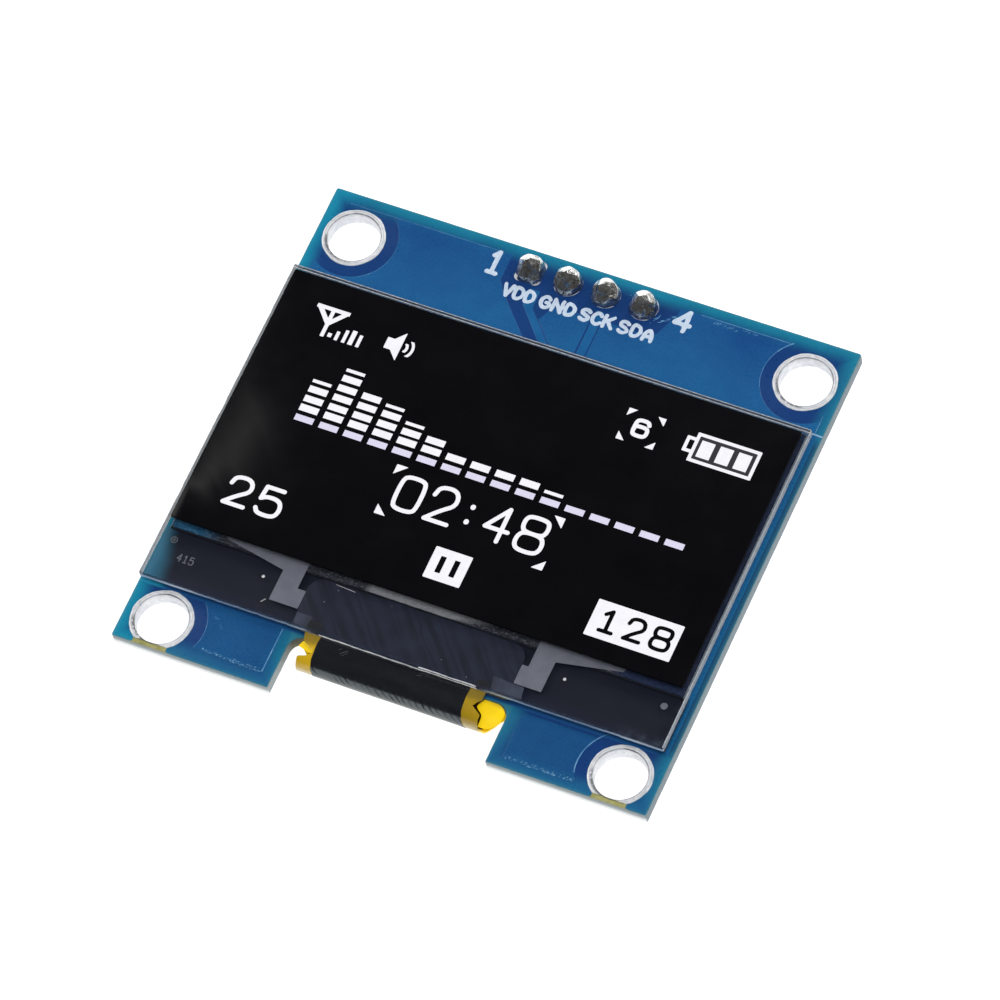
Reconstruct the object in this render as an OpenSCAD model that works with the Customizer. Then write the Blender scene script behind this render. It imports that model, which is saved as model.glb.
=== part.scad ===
// Small monochrome OLED display module: a blue circuit board with four plated
// mounting holes, a bonded glass display panel on the front, a flat flexible
// cable that rolls through a notch to the rear, and a four-pin header.
// Origin: centre of the four mounting holes on the board's rear face.
// +Z is the viewing side, +Y runs towards the pin header.

/* [Board] */
// Width of the circuit board
board_w = 35.4; // [35.2:0.1:36]
// Height of the circuit board
board_h = 33.5; // [33.3:0.1:34]
// Thickness of the circuit board
board_t = 1.0; // [0.8:0.1:1.2]
// Rounding of the board's outer corners
corner_r = 0.15; // [0.1:0.05:0.5]
// Width of the notch that the cable passes through
notch_w = 14.4; // [14.2:0.1:15]
// Depth of the notch from the lower edge
notch_d = 3.85; // [3.75:0.05:3.95]
// Rounding of the notch's inner corners
notch_r = 0.9; // [0.6:0.1:1.2]

/* [Mounting holes] */
// Distance between hole centres along X
hole_x = 30.4; // [30.2:0.1:30.6]
// Distance between hole centres along Y
hole_y = 28.5; // [28.3:0.1:28.6]
// Finished diameter of each hole
hole_d = 3.3; // [3:0.1:3.3]
// Outer diameter of the tinned ring round each hole
ring_d = 4.05; // [4:0.05:4.2]
// Distance from the lower hole centres to the board's lower edge
low_margin = 2.0; // [1.9:0.1:2.2]

/* [Glass panel] */
// Width of the glass panel
glass_w = 34.7; // [34.3:0.1:34.8]
// Sideways offset of the glass panel from the board's centre line
glass_x = -0.1; // [-0.1:0.1:0.1]
// Height of the glass panel
glass_h = 23.0; // [22.8:0.1:23]
// Thickness of the front glass that carries the electrodes
front_t = 0.55; // [0.5:0.05:0.7]
// Thickness of the rear cover glass
cap_t = 0.5; // [0.5:0.05:0.6]
// Height of the bare ledge below the cover glass
ledge_h = 3.75; // [3.7:0.05:3.8]
// Thickness of the adhesive seal between the two glasses
seal_t = 0.05; // [0.04:0.01:0.08]
// Thickness of the double-sided tape under the panel
tape_t = 0.15; // [0.1:0.05:0.2]
// Thickness of the polarizer film
film_t = 0.15; // [0.1:0.05:0.2]
// Width of the polarizer film
film_w = 34.0; // [33.4:0.1:34]
// Height of the polarizer film
film_h = 18.5; // [18.2:0.1:18.7]

/* [Flexible cable] */
// Sideways offset of the cable from the board's centre line
flex_x = -0.2; // [-0.3:0.1:0.3]
// Width of the cable where it leaves the glass
flex_w = 12.1; // [11.8:0.1:12.4]
// Width of the soldered tail behind the board
tail_w = 20; // [19:0.5:21]
// Thickness of the cable
flex_t = 0.1; // [0.08:0.01:0.12]
// Outer radius of the roll
roll_r = 1.07; // [1.0:0.01:1.1]
// Width of the black coating on the cable
coat_w = 10.2; // [9.8:0.1:10.4]
// Thickness of the black coating
coat_t = 0.03; // [0.03:0.01:0.04]
// Number of soldered fingers on the tail
finger_n = 30; // [20:1:30]
// Distance from one finger to the next
finger_pitch = 0.62; // [0.6:0.01:0.64]

/* [Pin header] */
// Distance from one pin to the next
pin_pitch = 2.54; // [2.54]
// Side of the square pins
pin_s = 0.64; // [0.6:0.01:0.64]
// Length of pin standing behind the plastic strip
pin_tail = 6.0; // [5:0.5:8]
// Height of the pin tip above the board's front face
pin_tip = 1.15; // [1:0.05:1.15]
// Thickness of the plastic strip
strip_t = 2.54; // [2.5:0.01:2.6]
// Depth of the plastic strip
strip_d = 2.5; // [2.4:0.1:2.5]
// Distance from the pin row to the board's upper edge
pin_margin = 1.5; // [1.45:0.05:1.6]

/* [Chip parts] */
// Length of each small resistor and capacitor
chip_l = 1.6; // [1.5:0.1:1.6]
// Width of each small resistor and capacitor
chip_w = 0.8; // [0.7:0.1:0.8]
// Height of a resistor
res_t = 0.45; // [0.35:0.05:0.5]
// Height of a capacitor
cap_part_t = 0.8; // [0.7:0.05:0.9]

/* [Hidden] */

$fn = 64;

// board outline in the row's frame
bot = -hole_y/2 - low_margin;      // lower edge
top = bot + board_h;               // upper edge
mid = (bot + top)/2;               // middle of the board
notch_top = bot + notch_d;

// panel heights
z_tape = board_t;
z_cap = z_tape + tape_t;
z_seal = z_cap + cap_t;
z_front = z_seal + seal_t;
z_film = z_front + front_t;
z_face = z_film + film_t;

// panel outline
glass_bot = bot + 3.95;
glass_top = glass_bot + glass_h;
ledge_top = glass_bot + ledge_h;
film_x = -0.2;
film_top = glass_top - 0.4;
cell_w = 33.9;                     // sealed cell behind the film
cell_h = glass_top - ledge_top - 0.3;
cell_y = ledge_top + 0.1 + cell_h/2;
resin_h = ledge_h - 0.2;           // dark patch on the ledge

// cable path
bond_t = 0.02;
bond_h = 1.2;
flex_top = z_front - bond_t;
roll_y = glass_bot - 0.95;         // roll centre
roll_z = flex_top - roll_r;
lift_y = notch_top + 0.45;         // where the tail meets the board
tail_end = glass_bot + 5.0;

// header
pin_y = top - pin_margin;
pin_n = 4;
barrel_d = 1.02;
barrel_t = 0.03;
pad_d = 1.9;
pad_t = 0.035;
function pin_x(i) = (i - (pin_n + 1)/2)*pin_pitch;

// rear parts: x, y, turn
p_current = [-8.6, 7.4, 90];
p_clock = [-4.2, 10.4, 0];
p_data = [-4.2, 8.8, 0];
p_reset = [-1.0, 8.0, 90];
p_address = [-8.6, 10.6, 0];
p_input = [8.8, 11.6, 0];
p_output = [12.3, 6.2, 90];
p_creset = [1.2, 8.0, 90];
p_pump_a = [-5.4, -3.6, 90];
p_pump_b = [-3.2, -3.6, 90];
p_common = [3.6, -3.6, 90];
p_panel = [6.2, -3.6, 90];
reg_at = [8.6, 7.2];
dio_at = [4.2, 8.2];
CHIPS = [p_current, p_clock, p_data, p_reset, p_address, p_input, p_output,
    p_creset, p_pump_a, p_pump_b, p_common, p_panel];

// rectangle with rounded corners, centred
module rounded(w, h, r) {
    square([w - 2*r, h], center = true);
    square([w, h - 2*r], center = true);
    for (x = [-1, 1], y = [-1, 1])
        translate([x*(w/2 - r), y*(h/2 - r)]) circle(r);
}

// plate from corner to corner between two heights
module slab(x0, x1, y0, y1, z0, z1) {
    translate([x0, y0, z0]) cube([x1 - x0, y1 - y0, z1 - z0]);
}

// a profile drawn in Y and Z, made w wide along X about the cable's centre
module across(w) {
    translate([flex_x - w/2, 0, 0]) rotate([90, 0, 90])
        linear_extrude(w) children();
}

module hole_places() {
    for (x = [-1, 1], y = [-1, 1])
        translate([x*hole_x/2, y*hole_y/2, 0]) children();
}

module pin_places() {
    for (i = [1:pin_n]) translate([pin_x(i), pin_y, 0]) children();
}

module board_outline() {
    difference() {
        translate([0, mid]) rounded(board_w, board_h, corner_r);
        // cable notch with rounded inner corners
        translate([-notch_w/2, bot - 1])
            square([notch_w, notch_d + 1 - notch_r]);
        translate([-notch_w/2 + notch_r, bot - 1])
            square([notch_w - 2*notch_r, notch_d + 1]);
        for (x = [-1, 1])
            translate([x*(notch_w/2 - notch_r), notch_top - notch_r])
                circle(notch_r);
    }
}

module circuit_board() color([0.08, 0.33, 0.55]) {
    difference() {
        linear_extrude(board_t) board_outline();
        hole_places() translate([0, 0, -1])
            cylinder(d = hole_d + 0.1, h = board_t + 2);
        pin_places() translate([0, 0, -1])
            cylinder(d = barrel_d + 2*barrel_t, h = board_t + 2);
    }
}

// tinned ring and barrel in each mounting hole; the lower rings stop short
// of the board's edge
module hole_plating() color([0.8, 0.82, 0.84]) {
    for (x = [-1, 1], y = [-1, 1])
        difference() {
            union() {
                translate([x*hole_x/2, y*hole_y/2, -pad_t])
                    cylinder(d = hole_d + 0.1, h = board_t + 2*pad_t);
                intersection() {
                    translate([x*hole_x/2, y*hole_y/2, 0]) union() {
                        translate([0, 0, board_t]) cylinder(d = ring_d, h = pad_t);
                        translate([0, 0, -pad_t]) cylinder(d = ring_d, h = pad_t);
                    }
                    slab(-20, 20, bot + 0.32, 20, -1, board_t + 1);
                }
            }
            translate([x*hole_x/2, y*hole_y/2, -1])
                cylinder(d = hole_d, h = board_t + 2);
        }
}

// plated barrels and pads of the header holes; pad 1 is square
module header_plating() color([0.8, 0.81, 0.8]) {
    for (i = [1:pin_n]) translate([pin_x(i), pin_y, 0]) difference() {
        union() {
            cylinder(d = barrel_d + 2*barrel_t, h = board_t);
            for (z = [-pad_t, board_t]) translate([0, 0, z])
                if (i == 1)
                    translate([-pad_d/2, -pad_d/2, 0]) cube([pad_d, pad_d, pad_t]);
                else
                    cylinder(d = pad_d, h = pad_t);
        }
        translate([0, 0, -1]) cylinder(d = barrel_d, h = board_t + 2);
    }
}

module panel_tape() color([0.9, 0.9, 0.88])
    slab(-15.5, 15.5, ledge_top + 1, glass_top - 1, z_tape, z_cap);

// rear cover glass with the shallow recess that holds the desiccant
module cover_glass() color([0.7, 0.75, 0.78]) difference() {
    slab(glass_x - 17.05, glass_x + 17.05, ledge_top, glass_top - 0.1,
        z_cap, z_seal);
    slab(glass_x - 15.6, glass_x + 15.6, cell_y - cell_h/2 + 1.4, cell_y + cell_h/2 - 1.4,
        z_seal - 0.2, z_seal + 1);
}

module desiccant_sheet() color([0.86, 0.84, 0.78])
    slab(glass_x - 14.5, glass_x + 14.5, cell_y - cell_h/2 + 2.4, cell_y + cell_h/2 - 2.4,
        z_seal - 0.2, z_seal - 0.08);

module edge_seal() color([0.75, 0.78, 0.7]) difference() {
    slab(glass_x - cell_w/2, glass_x + cell_w/2, cell_y - cell_h/2,
        cell_y + cell_h/2, z_seal, z_front);
    slab(glass_x - cell_w/2 + 1.2, glass_x + cell_w/2 - 1.2,
        cell_y - cell_h/2 + 1.2, cell_y + cell_h/2 - 1.2,
        z_seal - 1, z_front + 1);
}

// light-emitting layers and their metal backing on the front glass
module emitter_layer() color([0.35, 0.35, 0.38])
    slab(glass_x - 15.2, glass_x + 15.2, cell_y - cell_h/2 + 1.6, cell_y + cell_h/2 - 1.6,
        z_front - 0.02, z_front);

module front_glass() color([0.72, 0.8, 0.84])
    slab(glass_x - glass_w/2, glass_x + glass_w/2, glass_bot, glass_top,
        z_front, z_film);

// dark polarizer film
module polarizer() color([0.06, 0.06, 0.07])
    translate([film_x, film_top - film_h/2, z_film])
        linear_extrude(film_t) rounded(film_w, film_h, 0.1);

module driver_chip() color([0.25, 0.26, 0.3])
    slab(-3.4, 3.4, glass_bot + 1.75, glass_bot + 2.65, z_front - 0.3, z_front);

// dark resin that covers the chip and the root of the cable
module chip_resin() color([0.15, 0.16, 0.2]) difference() {
    translate([0, 0, z_front - 0.27]) linear_extrude(0.27) {
        translate([-7.05, glass_bot + 0.15]) square([14.1, resin_h - 0.6]);
        translate([-6.45, glass_bot + 0.15]) square([12.9, resin_h]);
        for (x = [-1, 1])
            translate([x*6.45, glass_bot + 0.15 + resin_h - 0.6]) circle(0.6);
    }
    slab(-3.4, 3.4, glass_bot + 1.75, glass_bot + 2.65, 0, z_front + 1);
    slab(flex_x - flex_w/2, flex_x + flex_w/2, glass_bot - 1,
        glass_bot + bond_h, z_front - 1, z_front + 1);
}

module shield_tape() color([0.1, 0.1, 0.12])
    slab(-16.5, 17.0, glass_bot + 0.1, ledge_top - 0.15,
        z_front - 0.36, z_front - 0.3);

// cable section in Y and Z: bonded root, roll, and tail against the board
module flex_path(t) {
    // straight from the glass
    translate([roll_y, flex_top - t]) square([glass_bot + bond_h - roll_y, t]);
    // half turn
    difference() {
        translate([roll_y, roll_z]) circle(roll_r, $fn = 96);
        translate([roll_y, roll_z]) circle(roll_r - t, $fn = 96);
        translate([roll_y, roll_z - 5]) square([10, 10]);
    }
    // ramp and flat tail
    polygon([[roll_y, roll_z - roll_r], [lift_y, -t], [tail_end, -t],
        [tail_end, 0], [lift_y, 0], [roll_y, roll_z - roll_r + t]]);
}

// outline of the tail seen from above, with its slanted shoulders
module tail_outline() {
    w = flex_w/2;
    polygon([[0, roll_y - 2], [w, roll_y - 2], [w, roll_y - 1.02],
        [w + 0.12, roll_y - 0.98], [w + 2.2, roll_y + 1.1],
        [tail_w/2, lift_y + 0.6], [tail_w/2, tail_end + 1],
        [0, tail_end + 1]]);
    polygon([[0, roll_y - 2], [-w, roll_y - 2], [-w, roll_y + 0.4],
        [-w - 0.12, roll_y + 0.48], [-w - 0.9, roll_y + 1.15],
        [-tail_w/2, lift_y + 0.6], [-tail_w/2, tail_end + 1],
        [0, tail_end + 1]]);
}

module flex_base() color([0.85, 0.62, 0.12]) {
    intersection() {
        across(flex_w) flex_path(flex_t);
        slab(-20, 20, -30, 10, roll_z, 10);
    }
    intersection() {
        across(tail_w) flex_path(flex_t);
        translate([flex_x, 0, -5]) linear_extrude(5 + roll_z) tail_outline();
    }
}

// black coating on the outside of the roll
module flex_coating() color([0.05, 0.05, 0.06])
    across(coat_w) {
        translate([roll_y, flex_top])
            square([glass_bot - 0.03 - roll_y, coat_t]);
        difference() {
            translate([roll_y, roll_z]) circle(roll_r + coat_t, $fn = 96);
            translate([roll_y, roll_z]) circle(roll_r, $fn = 96);
            translate([roll_y, roll_z - 5]) square([10, 10]);
        }
    }

module flex_bond_film() color([0.6, 0.6, 0.55])
    slab(flex_x - flex_w/2 + 0.1, flex_x + flex_w/2 - 0.1, glass_bot,
        glass_bot + bond_h, flex_top, z_front);

// solder on each finger, from the tail onto its pad on the board
module flex_joints() color([0.78, 0.79, 0.8])
    for (i = [0:finger_n - 1])
        translate([(i - (finger_n - 1)/2)*finger_pitch, 0, 0]) across(0.36)
            polygon([[tail_end - 1.1, -flex_t], [tail_end - 0.9, -flex_t - 0.08],
                [tail_end, -flex_t - 0.12], [tail_end + 0.5, -0.13],
                [tail_end + 0.8, 0], [tail_end, 0], [tail_end, -flex_t]]);

// one square pin with bevelled ends, along Z
module pin_blank(z0, z1) {
    s = pin_s/2;
    c = 0.17;
    q = [[-s + c, z0], [s - c, z0], [s, z0 + 2*c], [s, z1 - c],
        [s - c, z1], [-s + c, z1], [-s, z1 - c], [-s, z0 + 2*c]];
    intersection() {
        translate([-s, 0, 0]) rotate([90, 0, 90]) linear_extrude(2*s) polygon(q);
        translate([0, s, 0]) rotate([90, 0, 0]) linear_extrude(2*s) polygon(q);
    }
}

module header_pin(i) color([0.85, 0.78, 0.5])
    translate([pin_x(i), pin_y, 0])
        pin_blank(-strip_t - pin_tail, board_t + pin_tip);

// plastic strip: one chamfered cell for each pin
module header_strip() color([0.07, 0.07, 0.08]) {
    h = strip_d/2;
    w = pin_pitch/2;
    c = 0.45;
    difference() {
        translate([0, 0, -strip_t]) linear_extrude(strip_t)
            for (i = [1:pin_n]) translate([pin_x(i), pin_y])
                polygon([[-w, -h + c], [-w + c, -h], [w - c, -h], [w, -h + c],
                    [w, h - c], [w - c, h], [-w + c, h], [-w, h - c]]);
        for (i = [1:pin_n]) translate([pin_x(i), pin_y, 0])
            translate([-pin_s/2, -pin_s/2, -strip_t - 1])
                cube([pin_s, pin_s, strip_t + 2]);
        // clearance for the pads on the board's rear face
        for (i = [1:pin_n]) translate([pin_x(i), pin_y, -pad_t - 0.02])
            translate([-pad_d/2 - 0.02, -pad_d/2 - 0.02, 0])
                cube([pad_d + 0.04, pad_d + 0.04, 1]);
    }
}

// solder on the front: a filled barrel and a dome that wets the pin
// r: radius on the pad, k: height of the dome
module pin_solder(i, r, k) color([0.76, 0.77, 0.79])
    translate([pin_x(i), pin_y, 0]) difference() {
        union() {
            cylinder(d = barrel_d, h = board_t + pad_t);
            translate([0, 0, board_t + pad_t]) rotate_extrude()
                polygon([[0, 0], [r, 0], [r*1.02, 0.12], [r*0.97, 0.32*k],
                    [r*0.84, 0.58*k], [r*0.66, 0.78*k], [r*0.44, 0.92*k],
                    [r*0.2, 0.985*k], [0, k]]);
        }
        translate([-pin_s/2, -pin_s/2, -1])
            cube([pin_s, pin_s, 1 + board_t + pin_tip]);
    }

// small outline part: three-legged regulator, body below the board
module regulator_body() color([0.08, 0.08, 0.09])
    translate([reg_at[0], reg_at[1], -1.1])
        linear_extrude(1.0) square([2.9, 1.3], center = true);

// bent leg seen from the side: foot on the board, knee up to the body
module leg_profile(reach) {
    polygon([[0, -0.62], [0.25, -0.62], [0.42, -0.14], [reach, -0.14],
        [reach, 0], [0.3, 0], [0.12, -0.5], [0, -0.5]]);
}

module regulator_leads() color([0.75, 0.76, 0.78])
    translate([reg_at[0], reg_at[1], 0]) {
        for (x = [-0.95, 0.95]) translate([x, -0.65, 0])
            translate([0.2, 0, 0]) rotate([90, 0, -90])
                linear_extrude(0.4) leg_profile(0.75);
        translate([-0.2, 0.65, 0]) rotate([90, 0, 90])
            linear_extrude(0.4) leg_profile(0.75);
    }

module diode_body() color([0.09, 0.09, 0.1])
    translate([dio_at[0], dio_at[1], -1.0])
        linear_extrude(0.9) square([1.25, 1.7], center = true);

module diode_leads() color([0.75, 0.76, 0.78])
    translate([dio_at[0], dio_at[1], 0]) {
        translate([0.15, -0.85, 0]) rotate([90, 0, -90])
            linear_extrude(0.3) leg_profile(0.55);
        translate([-0.15, 0.85, 0]) rotate([90, 0, 90])
            linear_extrude(0.3) leg_profile(0.55);
    }

// resistor or capacitor block under the board
module block(p, t) translate([p[0], p[1], -t]) rotate([0, 0, p[2]])
    translate([-chip_l/2, -chip_w/2, 0]) cube([chip_l, chip_w, t]);

module resistor(p) color([0.1, 0.1, 0.11]) block(p, res_t);
module capacitor(p) color([0.62, 0.5, 0.36]) block(p, cap_part_t);

// solder fillet at both ends of every small part
module chip_joints() color([0.78, 0.79, 0.8])
    for (p = CHIPS) translate([p[0], p[1], 0]) rotate([0, 0, p[2]])
        for (s = [0, 1]) mirror([s, 0, 0]) translate([chip_l/2, 0.35, 0])
            rotate([90, 0, 0]) linear_extrude(0.7)
                polygon([[0, 0], [0.4, 0], [0.12, -0.12], [0, -0.34]]);

circuit_board();
hole_plating();
header_plating();
panel_tape();
cover_glass();
desiccant_sheet();
edge_seal();
emitter_layer();
front_glass();
polarizer();
driver_chip();
chip_resin();
shield_tape();
flex_base();
flex_coating();
flex_bond_film();
flex_joints();
header_strip();
header_pin(1);  // header_pin_1
header_pin(2);  // header_pin_2
header_pin(3);  // header_pin_3
header_pin(4);  // header_pin_4
pin_solder(1, 0.93, 1.45);  // pin_solder_1
pin_solder(2, 0.92, 1.36);  // pin_solder_2
pin_solder(3, 0.93, 1.42);  // pin_solder_3
pin_solder(4, 0.92, 1.38);  // pin_solder_4
regulator_body();
regulator_leads();
diode_body();
diode_leads();
resistor(p_current);  // resistor_current
resistor(p_clock);  // resistor_clock
resistor(p_data);  // resistor_data
resistor(p_reset);  // resistor_reset
resistor(p_address);  // resistor_address
capacitor(p_input);  // capacitor_input
capacitor(p_output);  // capacitor_output
capacitor(p_creset);  // capacitor_reset
capacitor(p_pump_a);  // capacitor_pump_a
capacitor(p_pump_b);  // capacitor_pump_b
capacitor(p_common);  // capacitor_common
capacitor(p_panel);  // capacitor_panel
chip_joints();
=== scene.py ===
import bpy
import bmesh
import math
import numpy as np
from mathutils import Matrix, Quaternion, Vector
from mathutils.geometry import delaunay_2d_cdt


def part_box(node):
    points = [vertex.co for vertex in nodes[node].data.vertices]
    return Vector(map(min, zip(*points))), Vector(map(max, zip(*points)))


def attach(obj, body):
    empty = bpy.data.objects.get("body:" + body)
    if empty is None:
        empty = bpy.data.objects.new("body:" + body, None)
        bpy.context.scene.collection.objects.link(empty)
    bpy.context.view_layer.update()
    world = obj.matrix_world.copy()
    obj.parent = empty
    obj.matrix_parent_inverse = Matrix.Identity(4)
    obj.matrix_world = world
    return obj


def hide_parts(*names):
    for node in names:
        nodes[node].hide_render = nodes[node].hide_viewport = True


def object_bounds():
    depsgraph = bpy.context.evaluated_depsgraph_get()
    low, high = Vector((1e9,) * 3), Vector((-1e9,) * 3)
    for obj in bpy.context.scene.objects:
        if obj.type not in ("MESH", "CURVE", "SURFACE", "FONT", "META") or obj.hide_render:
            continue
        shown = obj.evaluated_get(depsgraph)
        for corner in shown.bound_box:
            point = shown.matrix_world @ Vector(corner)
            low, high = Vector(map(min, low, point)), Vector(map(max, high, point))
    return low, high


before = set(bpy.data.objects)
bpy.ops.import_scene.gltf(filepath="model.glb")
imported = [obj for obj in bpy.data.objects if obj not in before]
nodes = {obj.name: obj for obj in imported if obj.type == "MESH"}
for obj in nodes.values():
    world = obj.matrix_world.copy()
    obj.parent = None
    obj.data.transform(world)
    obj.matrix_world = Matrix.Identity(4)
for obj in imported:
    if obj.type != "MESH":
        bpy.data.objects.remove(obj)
CAD_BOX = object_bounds()
MM = 0.001


def nbox(name):
    """Box of a CAD node in millimetres: x0, y0, z0, x1, y1, z1."""
    lo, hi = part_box(name)
    return [c / MM for c in lo] + [c / MM for c in hi]


# ------------------------------------------------------------------ layout
BX0, BY0, BZ0, BX1, BY1, BZ1 = nbox("circuit_board")
HOLES = [(-15.2, -14.25), (15.2, -14.25), (-15.2, 14.25), (15.2, 14.25)]
HOLE_R = 1.65
GX0, GY0, GZ0, GX1, GY1, GZ1 = nbox("front_glass")
FX0, FY0, FZ0, FX1, FY1, FZ1 = nbox("polarizer")
CX0, CY0, CZ0, CX1, CY1, CZ1 = nbox("cover_glass")
PIN_Y = 15.75
PIN_X = [-3.81, -1.27, 1.27, 3.81]
NOTCH_W, NOTCH_TOP, NOTCH_R = 14.4, -16.25 + 3.85, 0.9
rng = np.random.default_rng(41)


# --------------------------------------------------------- node materials
class Nodes:
    """Small wrapper that makes a node tree short to write."""

    def __init__(self, name, **sockets):
        self.mat = bpy.data.materials.new(name)
        self.mat.use_nodes = True
        self.t = self.mat.node_tree
        self.b = next(n for n in self.t.nodes if n.type == "BSDF_PRINCIPLED")
        self.out = next(n for n in self.t.nodes if n.type == "OUTPUT_MATERIAL")
        c = self.t.nodes.new("ShaderNodeTexCoord")
        m = self.t.nodes.new("ShaderNodeMapping")
        m.vector_type = "POINT"
        m.inputs["Scale"].default_value = (1000, 1000, 1000)
        self.t.links.new(c.outputs["Object"], m.inputs["Vector"])
        self.mm = m.outputs["Vector"]
        for k, v in sockets.items():
            self.b.inputs[k.replace("_", " ")].default_value = v

    def new(self, kind, **props):
        n = self.t.nodes.new("ShaderNode" + kind)
        for k, v in props.items():
            setattr(n, k, v)
        return n

    def plug(self, a, b):
        if isinstance(a, (int, float)):
            b.default_value = a
        elif isinstance(a, (tuple, list)):
            b.default_value = tuple(a) if len(a) != 3 or len(b.default_value) == 3 else (*a, 1)
        else:
            self.t.links.new(a, b)

    def scaled(self, x=1.0, y=1.0, z=1.0, rot=(0, 0, 0), vec=None):
        m = self.new("Mapping")
        m.inputs["Scale"].default_value = (x, y, z)
        m.inputs["Rotation"].default_value = rot
        self.t.links.new(vec or self.mm, m.inputs["Vector"])
        return m.outputs["Vector"]

    def noise(self, scale, detail=2.0, rough=0.5, vec=None, dist=0.0):
        n = self.new("TexNoise")
        n.inputs["Scale"].default_value = scale
        n.inputs["Detail"].default_value = detail
        n.inputs["Roughness"].default_value = rough
        n.inputs["Distortion"].default_value = dist
        self.t.links.new(vec or self.mm, n.inputs["Vector"])
        return n.outputs["Fac"]

    def voronoi(self, scale, vec=None, feature="F1", out="Distance"):
        n = self.new("TexVoronoi", feature=feature)
        n.inputs["Scale"].default_value = scale
        self.t.links.new(vec or self.mm, n.inputs["Vector"])
        return n.outputs[out]

    def wave(self, scale, dist=0.0, vec=None, direction="X", detail=2.0, dscale=1.0):
        n = self.new("TexWave", bands_direction=direction)
        n.inputs["Scale"].default_value = scale
        n.inputs["Distortion"].default_value = dist
        n.inputs["Detail"].default_value = detail
        n.inputs["Detail Scale"].default_value = dscale
        self.t.links.new(vec or self.mm, n.inputs["Vector"])
        return n.outputs["Fac"]

    def math(self, op, a, b=0.0, clamp=False):
        n = self.new("Math", operation=op, use_clamp=clamp)
        self.plug(a, n.inputs[0])
        self.plug(b, n.inputs[1])
        return n.outputs[0]

    def xyz(self, vec=None):
        n = self.new("SeparateXYZ")
        self.t.links.new(vec or self.mm, n.inputs[0])
        return n.outputs[0], n.outputs[1], n.outputs[2]

    def rng(self, v, a, b, lo=0.0, hi=1.0, smooth=False):
        n = self.new("MapRange", interpolation_type="SMOOTHSTEP" if smooth else "LINEAR", clamp=True)
        self.plug(v, n.inputs[0])
        for i, k in enumerate((a, b, lo, hi), 1):
            n.inputs[i].default_value = k
        return n.outputs[0]

    def mix(self, f, a, b, mode="MIX"):
        n = self.new("Mix", data_type="RGBA", blend_type=mode)
        self.plug(f, n.inputs[0])
        for v, s in ((a, n.inputs[6]), (b, n.inputs[7])):
            if isinstance(v, (tuple, list)):
                s.default_value = (*v[:3], 1)
            else:
                self.t.links.new(v, s)
        return n.outputs[2]

    def ramp(self, f, stops, mode="LINEAR"):
        n = self.new("ValToRGB")
        n.color_ramp.interpolation = mode
        e = n.color_ramp.elements
        while len(e) < len(stops):
            e.new(0.5)
        for i, (p, c) in enumerate(stops):
            e[i].position = p
            e[i].color = (*c[:3], 1) if not isinstance(c, float) else (c, c, c, 1)
        self.t.links.new(f, n.inputs[0])
        return n.outputs[0]

    def set(self, name, v):
        self.plug(v, self.b.inputs[name])
        return self

    def bump(self, height, strength=0.2, distance_mm=0.02):
        n = self.new("Bump")
        n.inputs["Strength"].default_value = strength
        n.inputs["Distance"].default_value = distance_mm * MM
        self.t.links.new(height, n.inputs["Height"])
        self.t.links.new(n.outputs[0], self.b.inputs["Normal"])
        return self


def srgb(r, g, b, k=1.0):
    """Linear colour of an 0-255 display colour."""
    def f(c):
        c /= 255.0
        return k * (c / 12.92 if c <= 0.04045 else ((c + 0.055) / 1.055) ** 2.4)
    return (f(r), f(g), f(b))


# -------------------------------------------------------- signed distances
def d_circle(X, Y, cx, cy, r):
    return np.hypot(X - cx, Y - cy) - r


def d_box(X, Y, x0, x1, y0, y1, r=0.0):
    qx = np.abs(X - (x0 + x1) / 2) - (x1 - x0) / 2 + r
    qy = np.abs(Y - (y0 + y1) / 2) - (y1 - y0) / 2 + r
    return np.hypot(np.maximum(qx, 0), np.maximum(qy, 0)) + np.minimum(np.maximum(qx, qy), 0) - r


def d_seg(X, Y, a, b, r):
    dx, dy = b[0] - a[0], b[1] - a[1]
    t = np.clip(((X - a[0]) * dx + (Y - a[1]) * dy) / max(dx * dx + dy * dy, 1e-12), 0, 1)
    return np.hypot(X - a[0] - t * dx, Y - a[1] - t * dy) - r


def d_line(X, Y, pts, r):
    d = None
    for a, b in zip(pts[:-1], pts[1:]):
        s = d_seg(X, Y, a, b, r)
        d = s if d is None else np.minimum(d, s)
    return d


def d_poly(X, Y, pts, r=0.0):
    """Exact signed distance to a polygon, rounded outwards by r."""
    d = np.full(X.shape, 1e9)
    inside = np.zeros(X.shape, bool)
    n = len(pts)
    for i in range(n):
        a, b = pts[i], pts[(i + 1) % n]
        d = np.minimum(d, d_seg(X, Y, a, b, 0))
        if a[1] != b[1]:
            cross = ((Y < a[1]) != (Y < b[1])) & (
                X < (b[0] - a[0]) * (Y - a[1]) / (b[1] - a[1]) + a[0])
            inside ^= cross
    return np.where(inside, -d, d) - r


def union(*ds):
    out = ds[0]
    for d in ds[1:]:
        out = np.minimum(out, d)
    return out


def cut(a, *bs):
    for b in bs:
        a = np.maximum(a, -b)
    return a


def melt(a, b, k):
    """Smooth union, as where ink or resin flows together."""
    h = np.clip(0.5 + 0.5 * (b - a) / k, 0, 1)
    return b * (1 - h) + a * h - k * h * (1 - h)


EDGE_CASES = {1: [(0, 3)], 2: [(1, 0)], 3: [(1, 3)], 4: [(2, 1)], 5: [(0, 3), (2, 1)],
              6: [(2, 0)], 7: [(2, 3)], 8: [(3, 2)], 9: [(0, 2)], 10: [(1, 0), (3, 2)],
              11: [(1, 2)], 12: [(3, 1)], 13: [(0, 1)], 14: [(3, 0)]}


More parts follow.
